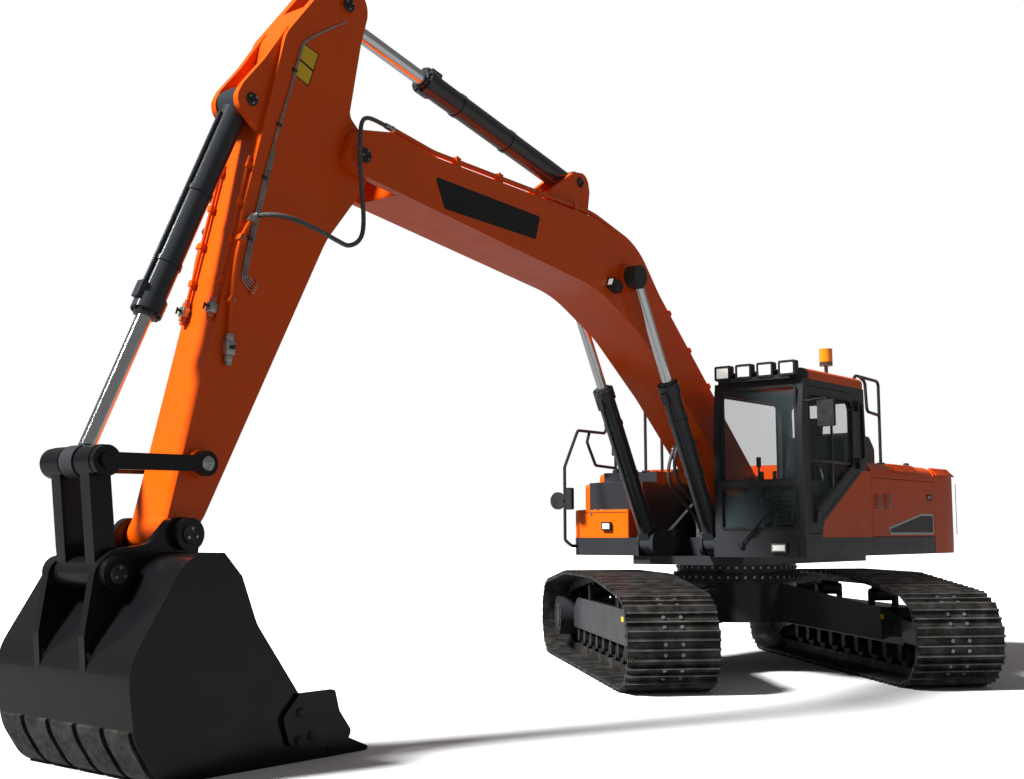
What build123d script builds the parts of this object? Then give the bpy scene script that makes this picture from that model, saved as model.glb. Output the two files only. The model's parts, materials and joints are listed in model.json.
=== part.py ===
"""Crawler excavator, standing with its bucket flat on the ground and its tracks turned under the house.

Frame: +X is the way the boom points, +Y is the machine's left, +Z is up. The origin is on the ground
below the middle of the parked machine, and the slew axis stands at SLEW_X. Everything is in millimetres.
"""

import os
from math import acos, atan2, cos, degrees, hypot, pi, radians, sin, tan

from build123d import *

os.makedirs("parts", exist_ok=True)

# ---- stance -----------------------------------------------------------------------------------------
SLEW_X = -2370.0            # slew axis, which centres the parked machine on the origin
TRACK_HEADING = 47.0        # undercarriage's forward, turned to the left of the boom's
BOOM_PITCH = 22.2           # line from boom foot to boom nose, above level
ARM_PITCH = -61.45          # line from boom nose to arm tip

# ---- clearances -------------------------------------------------------------------------------------
RUN = 0.05                  # radial play of a pin or rod in its bore
SEAT = 0.3                  # gap between curved faces of neighbours on one body
SIDE_PLAY = 6.0             # gap beside an eye, boss or wheel that turns

# ---- tracks -----------------------------------------------------------------------------------------
GAUGE = 2680.0              # between the track centres
TUMBLER_SPACING = 4040.0    # from sprocket axle to idler axle
SHOE_COUNT = 48
SHOE_WIDTH = 850.0
CHAIN_RADIUS = 364.0        # pitch line round sprocket and idler
SHOE_BACK = 42.0            # heights over the pitch line: back of the shoe plate,
SHOE_FACE = 60.0            # its face,
GROUSER_TIP = 86.0          # and the tips of the grousers
RAIL_DEPTH = 45.0           # chain rail inside the pitch line
RAIL_WIDTH = 50.0
RAIL_GAP = 110.0            # between the two rails, where the sprocket's teeth run
CARRIER_SPACING = 1520.0
CARRIER_RISE = 136.0        # pitch line at the carrier rollers, over its height at the idler
AXLE_Z = GROUSER_TIP + CHAIN_RADIUS

# ---- rollers, idlers and drives ---------------------------------------------------------------------
ROLLER_COUNT = 9
ROLLER_PITCH = 362.0
ROLLER_RADIUS = 105.0
CARRIER_RADIUS = 80.0
ROLLER_AXLE_RADIUS = 35.0
BRACKET = 36.0              # thickness of a roller's bracket
SPROCKET_TEETH = 21
SPROCKET_WIDTH = 70.0
SPROCKET_ROOT = 296.0
SPROCKET_TIP = 338.0
FINAL_DRIVE_RADIUS = 232.0
FINAL_DRIVE_REACH = 300.0   # outboard of the track's centre
IDLER_AXLE_RADIUS = 60.0

# ---- track frame and car body -----------------------------------------------------------------------
FRAME_WIDTH = 360.0
FRAME_BOTTOM = 350.0
FRAME_TOP = 700.0
YOKE = 34.0                 # thickness of the idler yoke's plates
LEG_SPREAD = 820.0          # a leg's foot, ahead of or behind the slew axis
DRUM_RADIUS = 640.0
CAR_BODY_BOTTOM = 520.0
CAR_BODY_TOP = 930.0
RACE_RADIUS = 680.0
RACE_HEIGHT = 98.0

# ---- house ------------------------------------------------------------------------------------------
HOUSE_WIDTH = 2940.0
HOUSE_BOTTOM = 1210.0       # underside of the skirts and the counterweight
DECK = 1400.0               # top of the skirts, where cab and panels stand
SKIRT = 60.0
CENTRE_PLATE = 1120.0       # underside of the middle plate, on the upper race
CENTRE_HALF = 660.0
HOUSE_FRONT_LEFT = 1290.0   # fore-and-aft places are from the slew axis
HOUSE_FRONT_RIGHT = 1060.0
TAIL_FRONT = -1950.0        # front of the counterweight
TAIL_REAR = -3450.0
TAIL_CORNER = 1150.0
TAIL_TOP = 2170.0
LIFT_LUG = (140.0, 40.0, 60.0)   # lifting lug: along, across, and up to its hole
LIFT_HOLE = 22.0
LIFT_BACK = 620.0           # behind the counterweight's front
LIFT_SPREAD = 900.0         # to either side of its middle
PANEL = 60.0                # thickness of doors, hood and panels
HOOD_TOP = 2190.0
HOOD_EDGE = 2020.0          # where the side doors end and the hood begins
HOOD_FRONT = -262.0
DOOR_FRONT = -262.0         # front edge of the engine door

# ---- cab --------------------------------------------------------------------------------------------
CAB_FRONT = 1270.0
CAB_REAR = -240.0
CAB_SIDE = HOUSE_WIDTH / 2  # outer face of its left wall
CAB_INNER = 500.0           # outer face of its right wall
CAB_WIDTH = CAB_SIDE - CAB_INNER
CAB_WALL = 60.0
CAB_EAVES = 2930.0
ROOF_TOP = CAB_EAVES + 110
SILL = 1930.0               # bar between the upper and lower front windows
PANE = 8.0
ROOF_FRONT = CAB_FRONT - 40
LAMP_PITCH = 235.0
HINGE_HEIGHTS = (2150.0, CAB_EAVES - 190)
KNUCKLE_RADIUS = 18.0
KNUCKLE_HEIGHT = 55.0
KNUCKLE_OUT = 20.0          # hinge axis outside the cab's wall
LEAF = (60.0, 12.0)         # reach and thickness of a hinge's leaves
POST = 70.0

# ---- boom, in its own frame from the foot pin --------------------------------------------------------
BOOM_FOOT = (50.0, 1870.0)
BOOM_LENGTH = 6340.0
BOOM_WIDTH = 540.0
BOOM_FORK_GAP = 404.0
BOOM_ROD_PIN = (2982.0, 940.0)
ARM_CYLINDER_FOOT = (3822.0, 1500.0)
BOOM_CYLINDER_FOOT = (1100.0, 1350.0)   # from the slew axis and the ground
BOOM_CYLINDER_Y = 385.0
BOOM_CYLINDER_EYE = 124.0   # width of its eyes

# ---- arm, in its own frame from the boom nose pin ----------------------------------------------------
ARM_LENGTH = 3214.0
ARM_WIDTH = 380.0
ARM_ROD_PIN = (-969.0, 649.0)
BUCKET_CYLINDER_FOOT = (277.0, 947.0)
SIDE_LINK_PIN = (2742.0, 85.5)

# ---- bucket, from the arm tip pin, level with the ground ---------------------------------------------
BUCKET_WIDTH = 1460.0
BUCKET_LINK_PIN = (515.0, -235.0)
LINK_TOP_PIN = (590.0, 445.0)
BUCKET_WALL = 35.0

# ---- pins and cylinders -----------------------------------------------------------------------------
PIN = 50.0
EYE = 115.0                 # radius of an eye round its pin


def turned(point, pitch):
    """A point (along, up) of a frame pitched by so many degrees, in level terms."""
    a = radians(pitch)
    return (point[0] * cos(a) - point[1] * sin(a), point[0] * sin(a) + point[1] * cos(a))


def added(a, b):
    """Sum of two (along, up) points."""
    return (a[0] + b[0], a[1] + b[1])


def side(point, y=0.0, pitch=0.0):
    """Upright fore-and-aft plane through (along, up) at y: local x forward and raised by pitch, y up."""
    a = radians(pitch)
    return Plane(origin=(SLEW_X + point[0], y, point[1]), x_dir=(cos(a), 0, sin(a)), z_dir=(0, -1, 0))


def plan(z):
    """Level plane at height z, with the slew axis as its origin."""
    return Plane(origin=(SLEW_X, 0, z))


def across(x):
    """Upright plane across the house at x: local x to the left, local y up."""
    return Plane(origin=(SLEW_X + x, 0, 0), x_dir=(0, 1, 0), z_dir=(1, 0, 0))


def under_side(v, u=0.0, z=0.0):
    """Upright plane along a track at v to the undercarriage's left: local x forward, local y up."""
    a = radians(TRACK_HEADING)
    origin = (SLEW_X + u * cos(a) - v * sin(a), u * sin(a) + v * cos(a), z)
    return Plane(origin=origin, x_dir=(cos(a), sin(a), 0), z_dir=(sin(a), -cos(a), 0))


def under_plan(z):
    """Level plane at height z along the undercarriage."""
    a = radians(TRACK_HEADING)
    return Plane(origin=(SLEW_X, 0, z), x_dir=(cos(a), sin(a), 0))


def outline(rows):
    """Closed outline from rows of (x, y, corner radius)."""
    return FilletPolyline(*[row[:2] for row in rows], radius=[row[2] for row in rows], close=True)


def save(name, piece):
    """Label a finished piece and write its STEP file."""
    piece.label = name
    export_step(piece, f"parts/{name}.step")


# Pins of the front, as (along from the slew axis, up from the ground).
NOSE = added(BOOM_FOOT, turned((BOOM_LENGTH, 0), BOOM_PITCH))
TIP = added(NOSE, turned((ARM_LENGTH, 0), ARM_PITCH))
BOOM_ROD_EYE = added(BOOM_FOOT, turned(BOOM_ROD_PIN, BOOM_PITCH))
ARM_FOOT_EYE = added(BOOM_FOOT, turned(ARM_CYLINDER_FOOT, BOOM_PITCH))
ARM_ROD_EYE = added(NOSE, turned(ARM_ROD_PIN, ARM_PITCH))
BUCKET_FOOT_EYE = added(NOSE, turned(BUCKET_CYLINDER_FOOT, ARM_PITCH))
SIDE_LINK_EYE = added(NOSE, turned(SIDE_LINK_PIN, ARM_PITCH))
LINK_EYE = added(TIP, LINK_TOP_PIN)
BUCKET_EYE = added(TIP, BUCKET_LINK_PIN)

# =====================================================================================================
# Undercarriage
# =====================================================================================================
half_span = TUMBLER_SPACING / 2
half_carriers = CARRIER_SPACING / 2
carrier_line = AXLE_Z + CHAIN_RADIUS + CARRIER_RISE

# The pitch line: flat on the ground side, round the tumblers, and raised over the carrier rollers.
rise = carrier_line - AXLE_Z
reach = half_span - half_carriers
leave = atan2(rise, reach) + acos(CHAIN_RADIUS / hypot(rise, reach))
on_sprocket = (-half_span + CHAIN_RADIUS * cos(leave), AXLE_Z + CHAIN_RADIUS * sin(leave))
on_idler = (-on_sprocket[0], on_sprocket[1])
with BuildLine() as pitch_line:
    Line((half_span, GROUSER_TIP), (-half_span, GROUSER_TIP))
    ThreePointArc((-half_span, GROUSER_TIP), (-half_span - CHAIN_RADIUS, AXLE_Z), on_sprocket)
    Line(on_sprocket, (-half_carriers, carrier_line))
    Line((-half_carriers, carrier_line), (half_carriers, carrier_line))
    Line((half_carriers, carrier_line), on_idler)
    ThreePointArc(on_idler, (half_span + CHAIN_RADIUS, AXLE_Z), (half_span, GROUSER_TIP))
chain_line = pitch_line.wire()
link_pitch = chain_line.length / SHOE_COUNT
joints = [
    chain_line.position_at(k * link_pitch, position_mode=PositionMode.LENGTH)
    for k in range(SHOE_COUNT)
]

# A shoe across its length: (share of the link, height over the pitch line).
SHOE_PROFILE = [
    (0.03, SHOE_FACE), (0.05, GROUSER_TIP), (0.13, GROUSER_TIP), (0.19, SHOE_FACE),
    (0.42, SHOE_FACE), (0.46, GROUSER_TIP), (0.54, GROUSER_TIP), (0.58, SHOE_FACE),
    (0.83, SHOE_FACE), (0.89, GROUSER_TIP), (0.97, GROUSER_TIP),
]


def shoe_run():
    """Outer outline of the loop, shoe by shoe."""
    points = []
    for k in range(SHOE_COUNT):
        start, end = joints[k], joints[(k + 1) % SHOE_COUNT]
        along = end - start
        outward = Vector(along.Y, -along.X).normalized() * -1
        points += [start + along * share + outward * height for share, height in SHOE_PROFILE]
    return [(p.X, p.Y) for p in points]


def offset_run(height):
    """The polygon of the chain's joints, moved out by height."""
    points = []
    for k in range(SHOE_COUNT):
        before, here, after = joints[k - 1], joints[k], joints[(k + 1) % SHOE_COUNT]
        along = ((here - before).normalized() + (after - here).normalized()).normalized()
        lean = along.dot((after - here).normalized())
        outward = Vector(along.Y, -along.X) * -1
        points.append(here + outward * (height / lean))
    return [(p.X, p.Y) for p in points]


shoes_outline = shoe_run()
plate_outline = offset_run(SHOE_BACK)
rail_outer = offset_run(SHOE_BACK + 6)
rail_inner = offset_run(-RAIL_DEPTH)
rail_offset = (RAIL_GAP + RAIL_WIDTH) / 2

for name, v in (("track_left", GAUGE / 2), ("track_right", -GAUGE / 2)):
    with BuildPart() as track:
        with BuildSketch(under_side(v)):
            with BuildLine():
                Polyline(*shoes_outline, close=True)
            make_face()
            with BuildLine():
                Polyline(*plate_outline, close=True)
            make_face(mode=Mode.SUBTRACT)
        extrude(amount=SHOE_WIDTH / 2, both=True)
        for rail in (-rail_offset, rail_offset):
            with BuildSketch(under_side(v + rail)):
                with BuildLine():
                    Polyline(*rail_outer, close=True)
                make_face()
                with BuildLine():
                    Polyline(*rail_inner, close=True)
                make_face(mode=Mode.SUBTRACT)
            extrude(amount=RAIL_WIDTH / 2, both=True)
    save(name, track.part)

# Rollers: nine on the ground run and two carriers on the upper run, each with its axle and brackets.
roller_z = GROUSER_TIP + RAIL_DEPTH + SEAT + ROLLER_RADIUS
chord_drop = link_pitch / 2 * tan((leave - pi / 2) / 2)
carrier_z = carrier_line - RAIL_DEPTH - chord_drop - SEAT - CARRIER_RADIUS
roller_width = RAIL_GAP + 2 * RAIL_WIDTH
bracket_y = (roller_width + BRACKET) / 2 + SIDE_PLAY
roller_places = [(k - (ROLLER_COUNT - 1) / 2) * ROLLER_PITCH for k in range(ROLLER_COUNT)]
carrier_places = [-half_carriers, half_carriers]
ROLLER_TABLE = [  # u, z, radius, where the bracket is carried
    *[(u, roller_z, ROLLER_RADIUS, FRAME_BOTTOM) for u in roller_places],
    *[(u, carrier_z, CARRIER_RADIUS, FRAME_TOP) for u in carrier_places],
]
for name, v in (("rollers_left", GAUGE / 2), ("rollers_right", -GAUGE / 2)):
    with BuildPart() as rollers:
        for u, z, radius, seat_z in ROLLER_TABLE:
            with BuildSketch(under_side(v, u, z)):
                Circle(radius)
            extrude(amount=roller_width / 2, both=True)
            with BuildSketch(under_side(v, u, z)):
                Circle(ROLLER_AXLE_RADIUS)
            extrude(amount=bracket_y + BRACKET / 2, both=True)
            for outward in (-bracket_y, bracket_y):
                with BuildSketch(under_side(v + outward, u, z)):
                    Circle(ROLLER_AXLE_RADIUS + 14)
                    with Locations((0, (seat_z - z) / 2)):
                        Rectangle(2 * ROLLER_AXLE_RADIUS + 28, abs(seat_z - z))
                extrude(amount=BRACKET / 2, both=True)
    save(name, rollers.part)

# Idlers: two treads with a guide flange in the gap between the rails.
tread_radius = CHAIN_RADIUS * cos(link_pitch / CHAIN_RADIUS / 2) - RAIL_DEPTH - SEAT
IDLER_FLANGE = 26.0
for name, v in (("idler_left", GAUGE / 2), ("idler_right", -GAUGE / 2)):
    with BuildPart() as idler:
        with BuildSketch(under_side(v, half_span, AXLE_Z)):
            Circle(tread_radius)
            Circle(IDLER_AXLE_RADIUS + 62, mode=Mode.SUBTRACT)
        extrude(amount=roller_width / 2, both=True)
        with BuildSketch(under_side(v, half_span, AXLE_Z)):
            Circle(tread_radius + IDLER_FLANGE)
            Circle(IDLER_AXLE_RADIUS, mode=Mode.SUBTRACT)
        extrude(amount=(RAIL_GAP - 20) / 2, both=True)
        with BuildSketch(under_side(v, half_span, AXLE_Z)):
            Circle(IDLER_AXLE_RADIUS)
        extrude(amount=FRAME_WIDTH / 2, both=True)
    save(name, idler.part)

# Drives: a toothed ring that runs in the gap between the rails, and the final drive that bulges outboard.
motor_plate = FRAME_WIDTH / 2 - YOKE
for name, v, outward in (("drive_left", GAUGE / 2, -1), ("drive_right", -GAUGE / 2, 1)):
    with BuildPart() as drive:
        with BuildSketch(under_side(v, -half_span, AXLE_Z)):
            Circle(SPROCKET_ROOT)
            with PolarLocations(0, SPROCKET_TEETH):
                with BuildLine():
                    Polyline((SPROCKET_ROOT - 8, -26), (SPROCKET_TIP, -9), (SPROCKET_TIP, 9),
                             (SPROCKET_ROOT - 8, 26), close=True)
                make_face()
        extrude(amount=SPROCKET_WIDTH / 2, both=True)
        with BuildSketch(under_side(v, -half_span, AXLE_Z)):
            Circle(FINAL_DRIVE_RADIUS)
        extrude(amount=outward * FINAL_DRIVE_REACH)
        with BuildSketch(under_side(v, -half_span, AXLE_Z)):
            Circle(FINAL_DRIVE_RADIUS - 40)
        extrude(amount=-outward * motor_plate)
    save(name, drive.part)

# Track frames: a box beam with the idler's yoke ahead and the motor's mounting plate behind.
FRAME_ROWS = [  # u, z, corner radius
    (-1560, FRAME_BOTTOM, 30), (1620, FRAME_BOTTOM, 30), (1620, 610, 60), (1240, FRAME_TOP, 200),
    (-1330, FRAME_TOP, 200), (-1560, 560, 60),
]
YOKE_ROWS = [
    (1560, FRAME_BOTTOM + 40, 20), (half_span + 60, FRAME_BOTTOM + 10, 60), (half_span + 110, AXLE_Z, 60),
    (half_span + 60, AXLE_Z + 100, 60), (1560, 600, 20),
]
for name, v, inward in (("track_frame_left", GAUGE / 2, 1), ("track_frame_right", -GAUGE / 2, -1)):
    with BuildPart() as track_frame:
        with BuildSketch(under_side(v)):
            with BuildLine():
                outline(FRAME_ROWS)
            make_face()
        extrude(amount=FRAME_WIDTH / 2, both=True)
        for plate in (-1, 1):
            with BuildSketch(under_side(v + plate * (FRAME_WIDTH - YOKE) / 2)):
                with BuildLine():
                    outline(YOKE_ROWS)
                make_face()
                with Locations((half_span, AXLE_Z)):
                    Circle(IDLER_AXLE_RADIUS + SEAT, mode=Mode.SUBTRACT)
            extrude(amount=YOKE / 2, both=True)
        with BuildSketch(under_side(v - inward * (FRAME_WIDTH - YOKE) / 2)):
            with Locations((-half_span, AXLE_Z)):
                Circle(FINAL_DRIVE_RADIUS)
            with BuildLine():
                Polyline((-half_span, AXLE_Z - 190), (-1500, FRAME_BOTTOM), (-1500, 640),
                         (-half_span, AXLE_Z + 190), close=True)
            make_face()
        extrude(amount=YOKE / 2, both=True)
    save(name, track_frame.part)

# Car body: a drum under the slew race with four legs that reach the track frames.
frame_face = GAUGE / 2 - FRAME_WIDTH / 2
with BuildPart() as car_body:
    with BuildSketch(under_plan(CAR_BODY_BOTTOM)):
        Circle(DRUM_RADIUS)
    extrude(amount=CAR_BODY_TOP - CAR_BODY_BOTTOM)
    for ahead in (-1, 1):
        for left in (-1, 1):
            with BuildSketch(under_side(left * 300, ahead * 280, 725)):
                Rectangle(520, 400)
            with BuildSketch(under_side(left * frame_face, ahead * LEG_SPREAD, 530)):
                Rectangle(560, 330)
            loft()
save("car_body", car_body.part)

with BuildPart() as slew_race:
    with BuildSketch(under_plan(CAR_BODY_TOP)):
        Circle(RACE_RADIUS)
    extrude(amount=RACE_HEIGHT)
save("slew_race", slew_race.part)

# =====================================================================================================
# House
# =====================================================================================================
half_house = HOUSE_WIDTH / 2
race_top = CAR_BODY_TOP + RACE_HEIGHT + SEAT
bracket_inner = BOOM_WIDTH / 2 + SIDE_PLAY
eye_inner = BOOM_CYLINDER_Y - BOOM_CYLINDER_EYE / 2 - SIDE_PLAY
lug_inner = BOOM_CYLINDER_Y + BOOM_CYLINDER_EYE / 2 + SIDE_PLAY
LUG = 40.0
OUTER_LUG = 26.0
DECK_PLATE = 50.0
WELL_REAR = 600.0           # rear of the open well that the boom cylinders stand in
well_half = lug_inner + OUTER_LUG + SIDE_PLAY

BRACKET_ROWS = [  # along, up, corner radius
    (-250, HOUSE_BOTTOM, 0), (-250, 1800, 120), (-110, 2045, 150), (140, 2060, 180), (330, 1800, 150),
    (860, 1480, 120), (1220, 1470, 100), (1235, 1225, 100), (1000, HOUSE_BOTTOM, 60),
]
lug_drop = HOUSE_BOTTOM - BOOM_CYLINDER_FOOT[1]
with BuildPart() as revolving_frame:
    with BuildSketch(plan(race_top)):
        Circle(RACE_RADIUS - 40)
    extrude(amount=HOUSE_BOTTOM - race_top)
    with BuildSketch(plan(CENTRE_PLATE)):
        with Locations((-430, 0)):
            Rectangle(2900, 2 * CENTRE_HALF)
    extrude(amount=HOUSE_BOTTOM - CENTRE_PLATE)
    with BuildSketch(plan(HOUSE_BOTTOM)):
        with BuildLine():
            outline([
                (TAIL_FRONT, -half_house, 20), (HOUSE_FRONT_RIGHT, -half_house, 160),
                (HOUSE_FRONT_RIGHT, -well_half, 20), (WELL_REAR, -well_half, 20),
                (WELL_REAR, well_half, 20), (HOUSE_FRONT_LEFT, well_half, 20),
                (HOUSE_FRONT_LEFT, half_house, 60), (TAIL_FRONT, half_house, 20),
            ])
        make_face()
    extrude(amount=DECK - HOUSE_BOTTOM)
    with BuildSketch(plan(HOUSE_BOTTOM + DECK_PLATE)):
        with BuildLine():
            outline([
                (TAIL_FRONT + 80, -half_house + SKIRT, 20), (HOUSE_FRONT_RIGHT - SKIRT, -half_house + SKIRT, 120),
                (HOUSE_FRONT_RIGHT - SKIRT, -well_half - LUG, 20), (WELL_REAR - SKIRT, -well_half - LUG, 20),
                (WELL_REAR - SKIRT, well_half + LUG, 20), (HOUSE_FRONT_LEFT - SKIRT, well_half + LUG, 20),
                (HOUSE_FRONT_LEFT - SKIRT, half_house - SKIRT, 40), (TAIL_FRONT + 80, half_house - SKIRT, 20),
            ])
        make_face()
    extrude(amount=DECK - HOUSE_BOTTOM, mode=Mode.SUBTRACT)
    for left in (-1, 1):
        with BuildSketch(side((0, 0), left * (bracket_inner + LUG / 2))):
            with BuildLine():
                outline(BRACKET_ROWS)
            make_face()
        extrude(amount=LUG / 2, both=True)
        with BuildSketch(side(BOOM_CYLINDER_FOOT, left * (lug_inner + OUTER_LUG / 2))):
            Circle(EYE + 10)
            with BuildLine():
                Polyline((-EYE - 10, 0), (EYE + 10, 0), (EYE + 10, lug_drop), (-EYE - 420, lug_drop), close=True)
            make_face()
        extrude(amount=OUTER_LUG / 2, both=True)
        with BuildSketch(side(BOOM_CYLINDER_FOOT, left * (bracket_inner + lug_inner + OUTER_LUG) / 2)):
            Circle(PIN)
        extrude(amount=(lug_inner + OUTER_LUG - bracket_inner) / 2, both=True)
    with BuildSketch(side(BOOM_FOOT)):
        Circle(PIN + 15)
    extrude(amount=bracket_inner + LUG + 20, both=True)
    with BuildSketch(plan(HOUSE_BOTTOM)):
        with Locations((-600, 0)):
            Rectangle(300, 2 * bracket_inner)
    extrude(amount=DECK - HOUSE_BOTTOM)
save("revolving_frame", revolving_frame.part)

with BuildPart() as counterweight:
    with BuildSketch(plan(HOUSE_BOTTOM)):
        with BuildLine():
            outline([
                (TAIL_FRONT, -half_house, 0), (TAIL_FRONT, half_house, 0),
                (TAIL_REAR, half_house, TAIL_CORNER), (TAIL_REAR, -half_house, TAIL_CORNER),
            ])
        make_face()
    extrude(amount=TAIL_TOP - HOUSE_BOTTOM)
    fillet(counterweight.edges().group_by(Axis.Z)[-1].sort_by(Axis.X)[:-1], radius=90)
save("counterweight", counterweight.part)

with BuildPart() as lift_lugs:
    for left in (-1, 1):
        with BuildSketch(side((TAIL_FRONT - LIFT_BACK, TAIL_TOP + LIFT_LUG[2]), left * LIFT_SPREAD)):
            Circle(LIFT_LUG[0] / 2 - 15)
            with BuildLine():
                Polyline((-LIFT_LUG[0] / 2, -LIFT_LUG[2]), (LIFT_LUG[0] / 2, -LIFT_LUG[2]),
                         (LIFT_LUG[0] / 2 - 18, 20), (18 - LIFT_LUG[0] / 2, 20), close=True)
            make_face()
            Circle(LIFT_HOLE, mode=Mode.SUBTRACT)
        extrude(amount=LIFT_LUG[1] / 2, both=True)
save("lift_lugs", lift_lugs.part)

ENGINE = (760.0, 1240.0, 640.0)     # along, across, up
with BuildPart() as engine_block:
    with Locations(Pos(SLEW_X - 1380, 0, HOUSE_BOTTOM + DECK_PLATE + ENGINE[2] / 2)):
        Box(*ENGINE)
    fillet(engine_block.edges().filter_by(Axis.Z), radius=60)
save("engine_block", engine_block.part)

# Hood: the rounded cover over the engine bay, open below, with its end walls.
hood_length = HOOD_FRONT - TAIL_FRONT
with BuildPart() as hood:
    with BuildSketch(across(TAIL_FRONT)):
        with BuildLine():
            outline([
                (-half_house, HOOD_EDGE, 0), (half_house, HOOD_EDGE, 0),
                (half_house, HOOD_TOP, 150), (-half_house, HOOD_TOP, 150),
            ])
        make_face()
    extrude(amount=hood_length)
    with BuildSketch(across(TAIL_FRONT + PANEL)):
        with BuildLine():
            outline([
                (-half_house + PANEL, HOOD_EDGE - 1, 0), (half_house - PANEL, HOOD_EDGE - 1, 0),
                (half_house - PANEL, HOOD_TOP - PANEL, 90), (-half_house + PANEL, HOOD_TOP - PANEL, 90),
            ])
        make_face()
    extrude(amount=hood_length - 2 * PANEL, mode=Mode.SUBTRACT)
save("hood", hood.part)

# Side doors of the engine bay, hinged on upright pins at their front edges.
DOOR_PLAY = 6.0
HINGE_PIN = 9.0
HINGE_INSET = 12.0          # pin's axis from the door's outer face and front edge
hinge_x = SLEW_X + DOOR_FRONT - HINGE_INSET
door_rear = TAIL_FRONT + DOOR_PLAY
for name, face in (("engine_door", half_house), ("pump_door", -half_house)):
    outside = 1 if face > 0 else -1
    with BuildPart() as side_door:
        with BuildSketch(side((0, 0), face)):
            with BuildLine():
                outline([
                    (door_rear, DECK + DOOR_PLAY, 20), (DOOR_FRONT, DECK + DOOR_PLAY, 0),
                    (DOOR_FRONT, HOOD_EDGE - DOOR_PLAY, 0), (door_rear, HOOD_EDGE - DOOR_PLAY, 20),
                ])
            make_face()
        extrude(amount=outside * PANEL)
        front_edges = side_door.edges().filter_by(Axis.Z).group_by(Axis.X)[-1]
        fillet(front_edges.sort_by(Axis.Y)[-1 if outside > 0 else 0], radius=HINGE_INSET)
        with Locations((hinge_x, face - outside * HINGE_INSET, (DECK + HOOD_EDGE) / 2)):
            Cylinder(HINGE_PIN, HOOD_EDGE - DECK)
    save(name, side_door.part)

# Fixed panel between the engine door and the cab, with its slanting front edge.
PANEL_ROWS = [
    (DOOR_FRONT + DOOR_PLAY, DECK, 0), (900, DECK, 0), (860, 1550, 60), (-60, HOOD_EDGE + 60, 60),
    (DOOR_FRONT + DOOR_PLAY, HOOD_EDGE + 60, 0),
]
with BuildPart() as cab_side_panel:
    with BuildSketch(side((0, 0), half_house)):
        with BuildLine():
            outline(PANEL_ROWS)
        make_face()
    extrude(amount=PANEL)
save("cab_side_panel", cab_side_panel.part)

# Bulkhead between the engine bay and the cab, across the house.
with BuildPart() as bulkhead:
    with BuildSketch(across(HOOD_FRONT - PANEL)):
        with BuildLine():
            outline([
                (-half_house + PANEL + 6, DECK, 0), (half_house - PANEL - 6, DECK, 0),
                (half_house - PANEL - 6, HOOD_EDGE, 0), (-half_house + PANEL + 6, HOOD_EDGE, 0),
            ])
        make_face()
    extrude(amount=PANEL)
save("bulkhead", bulkhead.part)

# Tanks along the right side, stepped down to the front, with the tool box before them.
TANK_INNER = -700.0
TOOL_BOX = 300.0            # its height
TANK_TOP = 2130.0
STEP_TOP = 2010.0
TANK_FRONT = 480.0
STEP_FRONT = 760.0
tank_rear = DOOR_FRONT + DOOR_PLAY
tank_outer = -half_house + PANEL
TANK_TABLE = [  # rear, front, top
    (tank_rear, TANK_FRONT, TANK_TOP),
    (TANK_FRONT, STEP_FRONT, STEP_TOP),
]
with BuildPart() as tanks:
    for rear, front, top in TANK_TABLE:
        with BuildSketch(plan(DECK)):
            with Locations(((rear + front) / 2, (tank_outer + TANK_INNER) / 2)):
                Rectangle(front - rear, TANK_INNER - tank_outer)
        extrude(amount=top - DECK)
save("tanks", tanks.part)

with BuildPart() as tank_panel:
    with BuildSketch(side((0, 0), -half_house)):
        with BuildLine():
            outline([
                (tank_rear, DECK, 0), (STEP_FRONT, DECK, 0), (STEP_FRONT, STEP_TOP - 12, 60),
                (TANK_FRONT, STEP_TOP - 12, 30), (TANK_FRONT, TANK_TOP - 12, 60), (tank_rear, TANK_TOP - 12, 30),
            ])
        make_face()
    extrude(amount=-PANEL)
save("tank_panel", tank_panel.part)

with BuildPart() as tool_box:
    with BuildSketch(plan(DECK)):
        with BuildLine():
            outline([
                (STEP_FRONT, -half_house, 0), (HOUSE_FRONT_RIGHT - 20, -half_house, 140),
                (HOUSE_FRONT_RIGHT - 20, TANK_INNER, 20), (STEP_FRONT, TANK_INNER, 0),
            ])
        make_face()
    extrude(amount=TOOL_BOX)
save("tool_box", tool_box.part)

# Work lamps let into the house's front: one on the tool box, one under the cab.
LAMP_TABLE = [  # face along the house, y, z, width, height
    (HOUSE_FRONT_RIGHT - 20, -977, 1525, 128, 92),
    (HOUSE_FRONT_LEFT, 1215, 1302, 165, 88),
]
LAMP_OUT = 28.0
with BuildPart() as work_lamps:
    for face, y, z, width, height in LAMP_TABLE:
        with BuildSketch(across(face)):
            with Locations((y, z)):
                RectangleRounded(width, height, 14)
        extrude(amount=LAMP_OUT)
save("work_lamps", work_lamps.part)

with BuildPart() as air_box:
    with BuildSketch(side((0, 0), half_house - 390)):
        with BuildLine():
            outline([
                (-1250, HOOD_TOP, 0), (-480, HOOD_TOP, 0), (-480, 2470, 60), (-600, 2530, 60),
                (-1120, 2510, 60), (-1250, 2380, 60),
            ])
        make_face()
    extrude(amount=520)
save("air_box", air_box.part)

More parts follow.
